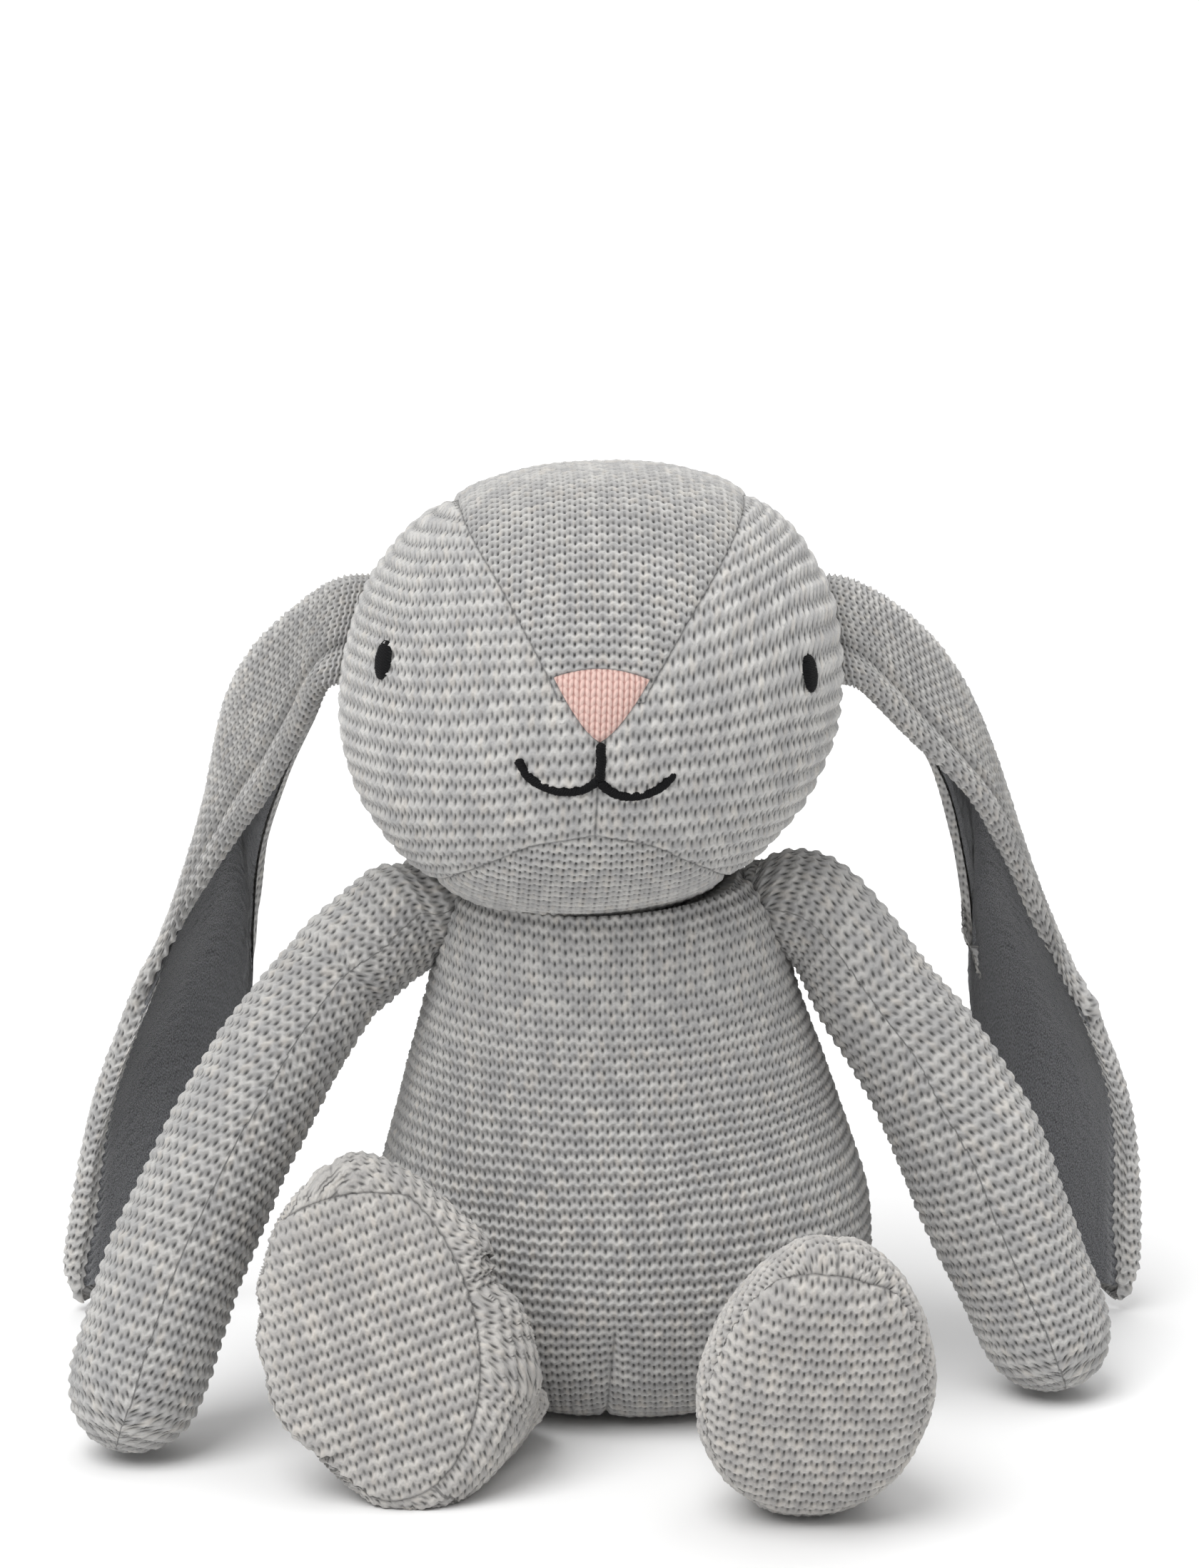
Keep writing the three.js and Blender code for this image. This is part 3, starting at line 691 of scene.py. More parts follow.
def knit_material(name, pitch, light, mid, dark, painted_shade_strength=1.0):
    """Marled garter stitch: the shader repeats the relief's own formula, then adds plies and loose fibres. The
    hollows, the slits and the seams are darkened in the colour as painted shade.
    """
    t = Tree(name)
    u, v, to_seam = t.knit_places()
    swing = t.math("COSINE", u * (2 * math.pi / WALE))
    across = v * (1 / pitch) - swing * STITCH_BEND
    ridge = t.bell(t.from_nearest(across, 0.25), 0.21)
    narrow = t.bell(1.0 - abs(swing), 0.27)
    slit = narrow * (SLIT_DEPTH - swing * SLIT_SWING) * t.bell(t.from_nearest(across, 0.75), 0.24)
    height = ridge * 0.6 - slit * 0.5
    along_fibres = t.noise((u * 1.3, v * 6.5), 3.0)
    upright_fibres = t.noise((u * 6.0, v * 1.5, 7.0), 3.0)
    fibres = along_fibres * ridge + upright_fibres * (1.0 - ridge)
    row = t.math("FLOOR", across + 0.25)
    marl = t.noise((u * 0.16, row * 5.3), 2.0)
    flecks = t.noise((u * 0.9, v * 1.1, 3.0), 3.0)
    warm = t.noise((u * 0.35, row * 3.1, 9.0), 1.0)
    colour = t.mixed(t.spread(marl, 0.36, 0.62), light, mid)
    colour = t.mixed(t.spread(flecks, 0.5, 0.72) * 0.4, colour, dark)
    colour = t.mixed(t.spread(warm, 0.52, 0.7) * 0.3, colour, (0.72, 0.66, 0.58))
    # painted shade: the hollows away from the ridges and the slits between stitches are darkened to dark copies
    # of mid
    hollow = t.spread(0.5 - (ridge + fibres * 0.25), 0.0, 0.5)
    colour = t.mixed(hollow * (0.38 * painted_shade_strength), colour, darker(mid, 0.42))
    colour = t.mixed(slit * (0.92 * painted_shade_strength), colour, darker(mid, 0.13))
    # painted shade: darker near seams and creases, such as where an arm meets the body
    colour = t.mixed(t.bell(to_seam, 0.38) * 0.6, colour, darker(mid, 0.25))
    t.bump(height + fibres * 0.55, 0.5, 0.9)
    return t.finish(colour)


def stocking_material(name, pitch, light, dark):
    t = Tree(name)
    u, v, _ = t.knit_places()
    leg = abs(t.math("FRACT", u * (1 / WALE)) - 0.5) * 2.0
    rise = v * (1 / pitch) + leg * 0.55
    strand = t.bell(leg - 0.5, 0.42)
    stitch = t.math("SINE", t.math("FRACT", rise) * math.pi)
    height = strand * (stitch * 0.5 + 0.5)
    fibres = t.noise((u * 4.0, rise * 5.0), 3.0)
    # painted shade: dark in the low gaps between the strands, light on their tops
    colour = t.mixed(t.spread(height, 0.15, 0.62), dark, light)
    t.bump(height + fibres * 0.4, 0.5, 0.8)
    return t.finish(colour, 0.9, 0.3)


def jersey_material():
    """Dark brushed jersey: short lifted fibres with paler tips, and a paler chain stitch along one edge."""
    t = Tree("brushed_jersey")
    u, v, edge = t.knit_places()
    cloud = t.noise((u * 0.5, v * 0.5), 4.0)
    nap = t.noise((u * 3.2, v * 2.2), 4.0)
    colour = t.mixed(t.spread(nap, 0.38, 0.64), (0.045, 0.047, 0.052), (0.215, 0.22, 0.235))
    colour = t.mixed(t.spread(cloud, 0.4, 0.7) * 0.35, colour, (0.15, 0.155, 0.17))
    chain = abs(t.math("SINE", (v * (1 / CHAIN_PITCH) + edge * CHAIN_SLANT) * math.pi))
    strip = t.bell(edge - 2.2, 1.5)
    colour = t.mixed(strip * t.spread(chain, 0.35, 0.9), colour, (0.27, 0.275, 0.29))
    t.bump(nap + cloud * 0.6, 0.7, 0.9)
    return t.finish(colour, 1.0, 0.5)


def thread_material(name, colour, shine):
    """Twisted sewing thread, with plies that slant across it."""
    t = Tree(name)
    u, v, _ = t.knit_places()
    ply = t.math("SINE", v * 9.0 + u * 3.0)
    lint = t.noise((u * 3.0, v * 3.0), 3.0)
    # painted shade: darker along the grooves between the plies, and darker at random with the lint
    tint = t.mixed(t.spread(ply * 0.25 + lint, 0.3, 0.9), darker(colour, 0.55), colour)
    t.bump(ply * 0.5 + lint, 0.25, 0.7)
    return t.finish(tint, 1 - shine, 0.0)


def fibre_material():
    """White loose filling, for the parts that stay inside the cover."""
    t = Tree("fibre_filling")
    tuft = t.noise(t.add("ShaderNodeTexCoord").outputs["Object"], 5.0, 300.0)
    colour = t.mixed(t.spread(tuft, 0.35, 0.7), (0.72, 0.71, 0.68), (0.9, 0.89, 0.86))
    t.bump(tuft, 1.5, 0.7)
    return t.finish(colour, 1.0, 0.4)


GREY = dict(light=(0.62, 0.61, 0.59), mid=(0.47, 0.465, 0.46), dark=(0.29, 0.295, 0.305))


def painted_shade_grey(share, warmth=0.0):
    """The grey yarn, darkened by a share as painted shade, and made a little warmer."""
    return {key: (red * share * (1 + warmth), green * share, blue * share * (1 - warmth))
            for key, (red, green, blue) in GREY.items()}


looks = {
    "head": knit_material("knit_head", HEAD_PITCH, **GREY),
    # painted shade: body, arms and feet are darker copies of the head's grey, for the shade on the lower parts
    "body": knit_material("knit_body", BODY_PITCH, **painted_shade_grey(0.88)),
    "arm": knit_material("knit_arm", ARM_PITCH, **painted_shade_grey(0.88)),
    "foot": knit_material("knit_foot", FOOT_PITCH, **painted_shade_grey(0.92, 0.02)),
    "ear": knit_material("knit_ear", EAR_PITCH, **GREY),
    "gusset": knit_material("knit_gusset", GUSSET_PITCH, painted_shade_strength=1.15, **GREY),
    # the nose's pink, and a darker pink painted as shade in the gaps between its strands
    "nose": stocking_material("knit_nose", NOSE_PITCH, (0.80, 0.56, 0.50), (0.45, 0.24, 0.21)),
    "lining": jersey_material(),
    "black": thread_material("black_embroidery", (0.009, 0.009, 0.010), 0.35),
    "seam": thread_material("grey_thread", (0.42, 0.42, 0.41), 0.1),
    "filling": fibre_material(),
}


# ---------------------------------------------------------------- head

def turn_matrix(yaw, roll):
    a, b = math.radians(yaw), math.radians(roll)
    turn = np.array([[math.cos(a), -math.sin(a), 0], [math.sin(a), math.cos(a), 0], [0, 0, 1]])
    lean = np.array([[math.cos(b), 0, math.sin(b)], [0, 1, 0], [-math.sin(b), 0, math.cos(b)]])
    return turn @ lean


HEAD_TURN = turn_matrix(HEAD_YAW, HEAD_ROLL)
GUSSET_FRONT = soft_curve([(0, 9), (12, 12.6), (30, 23), (43.5, 32), (52, 38), (60, 42), (90, 42)], 6)
GUSSET_BACK = soft_curve([(-90, 16), (-40, 20), (5, 30), (40, 38), (60, 42), (90, 42)], 6)
CHIN_LINE = soft_curve([(0, -29), (17, -33), (34, -44), (52, -62), (70, -88)], 5)
NOSE_HALF, NOSE_TOP, NOSE_TIP = 12.6, 15.0, -1.5
HEAD_LEAN = 3.3  # the head bulges at the top of its right side and at the bottom of its left side


def nose_inside(x, z):
    reach = np.clip((z - NOSE_TIP) / (NOSE_TOP - NOSE_TIP), 0, 1.2)
    side = NOSE_HALF * reach**0.72
    top = NOSE_TOP + 2.6 * (1 - (x / NOSE_HALF) ** 2)
    return np.minimum(np.minimum((side - np.abs(x)) * 0.8, top - z) + 0.2, z - NOSE_TIP + 0.5)


def head_panels(tree):
    head = Cover(tree, [HEAD_CENTRE], HEAD_TURN @ np.array([0, -1.0, 0]), 400)
    x, y, z = ((head.points - HEAD_CENTRE) @ HEAD_TURN).T
    head.swell(HEAD_LEAN * x * z / 3600)
    gusset_half = np.where(y < 0, GUSSET_FRONT(z), GUSSET_BACK(z))
    nose = nose_inside(x, np.where(y < 0, z, -99))
    gusset_strip = np.minimum(gusset_half - np.abs(x), np.where(y < 0, z - 9, 99)) * 0.85
    gusset = np.minimum(gusset_strip, -nose)
    chin = np.minimum(np.minimum((CHIN_LINE(np.abs(x)) - z) * 0.85, 22 - y), -gusset_strip)
    rest = np.minimum(np.minimum(-gusset_strip, -nose), -chin)
    radius = np.hypot(x, y)
    wobble = 0.35 * waves(x, z, 26, 3)
    tilt = 64 * np.arcsin(np.clip(z / 68, -1, 1))
    from_front = np.arctan2(x, -y) * radius
    over = np.arctan2(z, -y) * 62
    lean = np.where(x < 0, 0.16 + 0.10 * smooth(5, 45, z), 0.10 + 0.22 * smooth(0, 45, z))
    lean = np.where(x < 0, lean + 0.06 * smooth(-15, -45, z), lean - 0.15 * smooth(0, -50, z))
    cheek_v = tilt - lean * np.clip(x, -52, 52) + wobble
    arch = 0.0035 * x**2
    fine = dict(look=looks["gusset"], body="head", pitch=GUSSET_PITCH)
    head.panel("forehead_gusset_knit", "forehead_gusset", gusset, x + wobble, over + arch, **fine)
    head.panel("chin_panel_knit", "chin_panel", chin, x + wobble, over + arch, **fine)
    for side, name in SIDES:
        head.panel(f"{name}_cheek_knit", f"{name}_cheek_panel", np.minimum(rest, side * x), from_front, cheek_v,
                   looks["head"], "head", HEAD_PITCH)
    head.panel("nose_panel_knit", "nose_panel", nose, x, z, looks["nose"], "head", NOSE_PITCH, slot="nose_knit",
               stitch=stocking, relief=0.8)
    return head


# ---------------------------------------------------------------- body and tail

CRADLE_RISE = 14.0  # how far the body's top rises round the head
BACK_FROM = 70  # the back panels reach this many degrees to either side of the middle of the back
SEAT_RADIUS, SEAT_EDGE = 37, 12  # of the seat panel, and the height it ends at
DART_TOP, DART_REACH = 33, 11  # of the short dart in the front, and how far beside it the rows are pulled


def under_head(x, y):
    """The height of the head's underside over a place, and a great height outside the head."""
    a = (x - HEAD_CENTRE[0]) / HEAD_HALF[0]
    b = (y - HEAD_CENTRE[1]) / HEAD_HALF[1]
    inside = 1 - a * a - b * b
    return np.where(inside > 0, HEAD_CENTRE[2] - HEAD_HALF[2] * np.sqrt(np.maximum(inside, 0)), 999)


def body_panels(tree):
    axis = [(1.2, 0, 34), (0, 0, 60), (-2, 0, 84), (-3.4, 0, 106)]
    body = Cover(tree, axis, (0, -1.0, 0), 400)
    x, y, z = body.points.T
    rise = CRADLE_RISE * smooth(112, 134, z) * smooth(0.2, 0.75, body.flat_normals[:, 2] + 0.35)
    lower = z.copy()
    body.points[:, 2] = np.minimum(z + rise, np.maximum(under_head(x, y) - 0.4, z))
    x, y, z = body.points.T
    front_v = body.along + 0.8 * (z - lower) + 0.05 * x
    beta = np.degrees(np.arctan2(x - 0.5, y))
    radius = np.hypot(x, y)
    back = BACK_FROM - np.abs(beta)
    degrees = np.pi / 180 * radius
    seat = np.minimum(SEAT_RADIUS - np.hypot(x - 1.2, y / 0.86), SEAT_EDGE - z)
    wobble = 0.3 * waves(x, z, 30, 8)
    dart_x = -4.5 + 0.08 * z
    near_dart = np.where(y < 0, bell(x - dart_x, DART_REACH) * smooth(44, 16, z), 0)
    v = front_v + wobble - 2.4 * near_dart
    u = body.around + 0.3 * waves(x, z, 24, 9)
    past_dart = np.hypot(x - dart_x, np.where(y < 0, z - DART_TOP, UNBOUNDED))
    dart = np.where((y < 0) & (z < DART_TOP), np.abs(x - dart_x), past_dart)
    grey = dict(look=looks["body"], body="torso", pitch=BODY_PITCH)
    front = np.minimum(-back * degrees, -seat)
    body.panel("body_front_knit", "body_front_panel", front, u, v, crease=dart, **grey)
    for side, name in SIDES:
        inside = np.minimum(np.minimum(back * degrees, side * (x - 0.5)), -seat)
        body.panel(f"body_back_{name}_knit", f"body_back_{name}_panel", inside, u, v, **grey)
    body.panel("body_seat_knit", "body_seat_panel", seat, x, y, **grey)
    return body


def tail_cover(tree, centre):
    tail = Cover(tree, [centre], (0, 0, 1.0), 100)
    everywhere = np.full(len(tail.points), UNBOUNDED)
    tail.panel("tail_knit", "tail_cover", everywhere, tail.around, tail.along, looks["body"], "torso",
               BODY_PITCH)


# ---------------------------------------------------------------- arms and legs

ARMS = {
    "left": [(-56, -1, 137.5), (-66, -6, 132), (-80, -14, 121), (-105, -38, 88), (-122, -56, 52),
             (-133, -64.5, 17)],
    "right": [(46, -1, 139), (56, -3, 135.5), (68, -5, 125.5), (96, -11, 88), (112.5, -14, 47),
              (121.5, -14, 17)],
}
ARM_END = 14.6  # radius of the flat sewn end at the shoulder


def filled_out(cover, radius_at):
    """Widens the rings of a cover that are narrower than radius_at(length along the cover)."""
    centre = cover.grid.mean(axis=1, keepdims=True)
    away = cover.grid - centre
    radius = np.linalg.norm(away, axis=2).mean(axis=1)
    wanted = np.maximum(radius_at(cover.length) - COVER, radius)
    cover.grid = centre + away * (wanted / np.maximum(radius, 0.3))[:, None, None]
    evened(cover, 9)
    cover.prepare()


def evened(cover, reach, last=999):
    """Averages a cover's rings with their neighbours along it, up to a length along it, but for its ends."""
    half = int(reach / CELL / 2)
    padded = np.pad(cover.grid, ((half, half), (0, 0), (0, 0)), mode="edge")
    weights = np.hanning(2 * half + 3)[1:-1]
    rows = len(cover.grid)
    total = sum(w * padded[k:k + rows] for k, w in enumerate(weights)) / weights.sum()
    from_end = np.minimum(cover.length, cover.length[-1] - cover.length)
    share = (smooth(0, 6, from_end) * smooth(last + 25, last, cover.length))[:, None, None]
    cover.grid = mix(cover.grid, total, share)


def arm_end(length):
    """The least radius of an arm: a rounded disc at the shoulder, fading out down the arm."""
    rounding = np.sqrt(np.clip(1 - (1 - np.clip(length / 5, 0, 1)) ** 2, 0, 1))
    return ARM_END * rounding * smooth(75, 45, length)


def bands(share, shift):
    """A shift for each ring of a cover, as large as that ring's share of it."""
    return share[:, None, None] * np.array(shift, float)


def arm_cover(name, tree, body_tree):
    arm = Cover(tree, ARMS[name], (0, 1.0, 0), 130)
    filled_out(arm, arm_end)
    along = arm.length
    fuller = smooth(25, 60, along)
    if name == "right":
        evened(arm, 34, last=45)
        arm.grid += bands(fuller * smooth(178, 122, along), (-3.0, 0, -3.0))
        arm.grid += bands(smooth(60, 32, along), (0.4, 0, 0.7))
        arm.grid += bands(smooth(20, 0, along), (-3, 0, 0))
        swell = 2.6 * fuller * smooth(150, 100, along) - 0.4 * smooth(120, 150, along)
    else:
        arm.grid += bands(smooth(15, 40, along) * smooth(130, 70, along), (-0.4, 0, 1.6))
        arm.grid += bands(smooth(110, 150, along), (-0.8, 0, 0))
        arm.grid += bands(smooth(20, 0, along), (4, 0, 0))
        swell = 1.2 * fuller * smooth(120, 80, along) - 0.5 * smooth(115, 150, along)
    arm.prepare()
    arm.swell(np.interp(arm.along, along, swell))
    x, y, z = arm.points.T
    everywhere = np.full(len(arm.points), UNBOUNDED)
    v = arm.along + 0.35 * waves(x + y, z, 22, 21 + len(name))
    u = arm.around + 0.3 * waves(x, z, 18, 31)
    # the cover sinks near the body as at a seam, and the knit material darkens it there as painted shade for
    # the crevice between arm and body
    from_body = everywhere.copy()
    for k in np.flatnonzero(arm.along < 70):
        from_body[k] = body_tree.find_nearest(Vector(arm.points[k]))[3]
    arm.panel(f"{name}_arm_knit", f"{name}_arm_cover", everywhere, u, v, looks["arm"], f"{name}_arm", ARM_PITCH,
              crease=from_body / 2)


LEGS = {
    "left": dict(spine=[(-42, -58, 15), (-49, -70, 22), (-59, -81, 34)], sole=(-68.5, -94, 45),
                 toe=(-0.25, 0.26, 0.93), toe_cap=8, arch=0.011, tilt=-0.1, swell=0.7,
                 fuller=[((0.8, -0.3, -0.5), 5), ((-0.75, 0, 0.65), 2.5), ((0.62, 0.3, 0.72), 4.5)]),
    "right": dict(spine=[(38, -53, 15), (42, -72, 17), (47, -98, 30)], sole=(50.2, -132, 43),
                  toe=(0.06, -0.36, 0.93), toe_cap=6.5, arch=0.018, tilt=0, swell=0.35,
                  fuller=[((0.6, 0, 0.8), 2)]),
}
SOLE_HALF_WIDTH, SOLE_HALF_LENGTH, SOLE_MEAN = 30, 45.5, 32


def sole_frame(leg):
    toe = unit(np.array(leg["toe"], float))
    width = unit(np.array([1.0, 0, 0]) - toe * toe[0])
    return toe, width, np.cross(width, toe)


def leg_panels(name, tree):
    leg = LEGS[name]
    toe, width, normal = sole_frame(leg)
    spine = leg["spine"] + [tuple(np.array(leg["sole"]) - 14 * normal)]
    foot = Cover(tree, spine, toe, 240)
    evened(foot, 12)
    foot.prepare()
    away = foot.points - np.array(leg["sole"])
    depth = away @ normal
    foot.swell(leg["swell"] * (1 + 1.5 * bell(depth, 10)))
    for direction, amount in leg["fuller"]:
        facing = foot.flat_normals @ unit(np.array(direction, float))
        foot.swell(amount * smooth(0.1, 0.9, facing) * smooth(9, -4, depth))
    foot.measure()
    x, y, z = foot.points.T
    away = foot.points - np.array(leg["sole"])
    a, b, depth = away @ width, away @ toe, away @ normal
    from_middle = np.hypot(a / SOLE_HALF_WIDTH, b / SOLE_HALF_LENGTH)
    oval = np.where(depth > 0, (1.0 - from_middle) * SOLE_MEAN, -np.abs(depth) - 1.5)
    toe_line = SOLE_HALF_LENGTH - leg["toe_cap"] - leg["arch"] * a**2 - b
    sole = np.minimum(oval, toe_line)
    centre_seam = np.where((b > 20) & (toe_line < 3), np.abs(a - 2), UNBOUNDED)
    v_leg = foot.along + 0.3 * waves(x, z, 22, 41)
    v_sole = b + leg["tilt"] * a + 0.3 * waves(a, b, 24, 43)
    grey = dict(look=looks["foot"], body=f"{name}_leg", pitch=FOOT_PITCH)
    foot.panel(f"{name}_leg_knit", f"{name}_leg_cover", -sole, foot.around, v_leg, crease=centre_seam, **grey)
    foot.panel(f"{name}_sole_knit", f"{name}_sole_panel", sole, a, v_sole, **grey)


# ---------------------------------------------------------------- ears

# Three lines down each ear: its front edge, the fold along its middle and its back edge.
# The first number of each point is its distance to the side of the head's middle.
EAR_LINES = {
    "left": [
        [(66, -1, 207), (75, -2, 204), (82.5, 5, 189.5), (93, 15, 171), (105, 27, 154), (121, 40, 127),
         (137.5, 46, 92), (147.5, 50, 64), (154.5, 54, 35), (159, 58, 5)],
        [(58, 2, 231), (70, 3, 230), (82, 8, 221.5), (94.5, 14, 208.5), (103, 24, 190), (107, 37, 163),
         (111, 50, 130), (127, 61, 88), (138, 65, 41), (154, 62, 3)],
        [(66, 7, 207), (75, 9, 204), (81.5, 16, 189), (90.5, 27, 170), (98.5, 42, 148), (102, 55, 124),
         (104.5, 65, 94), (111, 70, 62), (127, 69, 31), (151, 63, 5)],
    ],
    "right": [
        [(66, -1, 207), (75, -3, 204), (89, 4, 189), (106.5, 15, 169), (118, 30, 147), (131, 43, 118),
         (145.5, 47, 91), (155, 50, 64), (158.5, 54, 35), (158.5, 58, 5)],
        [(58, 2, 231), (70, 3, 230), (83.5, 8, 222), (96.5, 14, 208.5), (106.5, 24, 189), (112, 37, 163),
         (117, 50, 130), (131, 61, 88), (141, 65, 41), (156, 62, 3)],
        [(66, 7, 208), (77.5, 9, 206), (88, 16, 191.5), (99, 27, 172), (105, 42, 149), (109.5, 55, 124),
         (112, 65, 94), (115, 70, 62), (128, 69, 31), (151, 63, 5)],
    ],
}
RIM_RADIUS = 2.3
TIP_SHARE = 0.035  # share of the ear's length over which it closes to its rounded tip
FOLD_FROM_RIM = 9.0  # where the soft crease beside the rolled front edge lies
RIM_MIDDLE = 0.4  # how far the rim's centre stands off the ear's middle sheet, towards the knitted side
RIM_FRONT, RIM_BACK = 5.5, -0.3  # how far the knit turns in over the lining
LINING_LEVEL = 1.7  # how far the lining stands off the middle sheet, away from the knitted side
BACK_REACH, BACK_CURL = 0.9, 0.62  # the back rim turns in this far, and this share of the front's half turn
LINE_STEPS = 60  # steps in which a section of an ear is measured


def ear_lines(side, t):
    lines = []
    for line in EAR_LINES["left" if side < 0 else "right"]:
        p = np.array(line, float)
        middle = mix(-6, -7.8, smooth(140, 200, p[:, 2]))
        p[:, 0] = middle + side * p[:, 0]
        lines.append(through(p, t))
    return lines


def ear_section(lines, row, s):
    front, fold, back = (line[row] for line in lines)
    s = s[:, None]
    return front * (1 - s) * (1 - 2 * s) + fold * 4 * s * (1 - s) + back * s * (2 * s - 1)


def ear_sheet(side, t, places):
    """Points of an ear sheet, and how far along its section each one is. places(width) gives, for a section of
    that length, how far along it each column is and how far it stands off towards the knitted side."""
    lines = ear_lines(side, t)
    dense = np.linspace(0, 1, LINE_STEPS + 1)
    sections = np.stack([ear_section(lines, row, dense) for row in range(len(t))])
    along = np.gradient(sections, axis=0)
    across = np.gradient(sections, axis=1)
    normal = side * unit(np.cross(along, across))
    run = length_along(sections, axis=1)
    points, spots = [], []
    for row, section in enumerate(sections):
        width = run[row, -1]
        spot, height = places(width)
        tip = math.sqrt(min(1.0, max(0.001, (1 - t[row]) / TIP_SHARE)))
        spot = width / 2 + (spot - width / 2) * tip
        held = np.clip(spot, 0, width)
        share = np.interp(held, run[row], dense) * LINE_STEPS
        at = spline(np.vstack([2 * section[0] - section[1], section, 2 * section[-1] - section[-2]]), share)
        out = unit(read_off(share, np.arange(LINE_STEPS + 1), normal[row]))
        first, last = unit(section[1] - section[0]), unit(section[-1] - section[-2])
        beyond = (spot - held)[:, None]
        points.append(at + np.where(beyond < 0, first, last) * beyond + out * (height * tip)[:, None])
        spots.append(spot)
    return np.stack(points), np.stack(spots)


def rim_path(columns):
    """The knitted sheet's path across an ear: in over the lining, round the rim, over the back, round again."""
    def places(width):
        pinch = min(1.0, width / 30)
        front, back = RIM_FRONT * pinch, RIM_BACK * pinch
        turn = math.pi * RIM_RADIUS
        w = np.linspace(-turn - front, width + turn + back, columns)
        spot, height = w.copy(), np.full(columns, RIM_MIDDLE + RIM_RADIUS)
        edges = ((-w, 0.0, -1, RIM_RADIUS, 1), (w - width, width, 1, BACK_REACH, BACK_CURL))
        for beyond, edge, sign, reach, share in edges:
            angle = np.clip(beyond / RIM_RADIUS, 0, math.pi) * share
            inward = np.maximum(beyond - turn, 0)
            curled = beyond > 0
            spot[curled] = (edge + sign * (reach * np.sin(angle) - inward))[curled]
            height[curled] = (RIM_MIDDLE + RIM_RADIUS * np.cos(angle))[curled]
        return spot, height
    return places


def ear_length(side):
    return float(length_along(ear_lines(side, np.linspace(0, 1, 100))[1])[-1])


def open_mesh(name, grid, knit, side):
    """A sheet from a grid of points. Its faces are turned over where side is above 0."""
    faces = grid_faces(*grid.shape[:2], False)
    if side > 0:
        faces = faces[:, ::-1]
    return mesh_from(name, grid.reshape(-1, 3), [faces], {"knit": knit.reshape(-1, 3)})


def ear_knit(name, side, length):
    rows, columns = int(length / CELL), 190
    t = np.linspace(0, 1, rows)
    grid, spot = ear_sheet(side, t, rim_path(columns))
    normal = -side * normals_of(grid, closed=False)
    u = length_along(grid, axis=1)
    v = (t * length)[:, None] + 0 * u
    v = v + 0.4 * waves(u, v, 24, 51)
    lift = RELIEF * (garter(u, v, WALE, EAR_PITCH) - 0.5)
    beside = bell(spot - FOLD_FROM_RIM, 2.2) * smooth(0, 0.08, t)[:, None]
    roll = bell(spot - 2.5, 3.6)
    outside = (np.arange(columns) > columns * 0.08)[None, :]
    lift = lift + outside * (1.3 * roll - 1.9 * beside * smooth(0.62, 0.4, t)[:, None])
    sewn_down = smooth(0.90, 0.95, np.linspace(0, 1, columns))[None, :]
    lift = mix(lift, 0.6, sewn_down)
    knit = np.stack([u, v, np.full_like(u, UNBOUNDED)], axis=2)
    return open_mesh(f"{name}_ear_knit", grid + normal * lift[..., None], knit, side)


def ear_lining(name, side, length):
    rows, columns = int(length / LINING_CELL), 90

    def places(width):
        pinch = min(1.0, width / 30)
        low, high = (RIM_FRONT - 1.0) * pinch, width - (RIM_BACK - 0.6) * pinch
        spot = np.linspace(low, high, columns)
        from_edge = np.minimum(spot - low, high - spot)
        return spot, 1.1 * bell(from_edge, 1.4) - LINING_LEVEL

    t = np.linspace(0.03, 0.985, rows)
    grid, spot = ear_sheet(side, t, places)
    normal = -side * normals_of(grid, closed=False)
    v = (t * length)[:, None] + 0 * spot
    nap = 0.16 * waves(spot, v, 1.9, 61) + 0.12 * waves(spot, v, 3.7, 62) + 0.25 * waves(spot, v, 16, 63)
    edge = spot - spot[:, :1]
    chain = bell(edge - 2.0, 1.1) * np.abs(np.sin(np.pi * (v / CHAIN_PITCH + CHAIN_SLANT * (edge - 2.0))))
    knit = np.stack([spot, v, edge], axis=2)
    return open_mesh(f"{name}_ear_lining_jersey", grid - normal * (nap + 0.7 * chain)[..., None], knit, -side)


def ear(name, side):
    """An ear's knitted sheet and its lining."""
    length = ear_length(side)
    outer = add_piece(f"{name}_ear_knit", ear_knit(name, side, length), looks["ear"], None,
                      f"{name}_ear_back")
    inner = add_piece(f"{name}_ear_jersey", ear_lining(name, side, length), looks["lining"], None,
                      f"{name}_ear_lining")
    for piece in (outer, inner):
        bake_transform(piece)


# ---------------------------------------------------------------- embroidery and threads

def on_head(tree, x, z):
    """The point and the outward normal of the head's cover, straight before a place on its middle plane."""
    start = HEAD_CENTRE + HEAD_TURN @ np.array([x, -150, z])
    hit, normal, _, _ = tree.ray_cast(Vector(start), Vector(HEAD_TURN @ np.array([0, 1.0, 0])))
    return np.array(hit) + np.array(normal) * 0.6, np.array(normal)


EYE_PLACE = (57.5, 13.3)  # from the head's centre, to the side and up


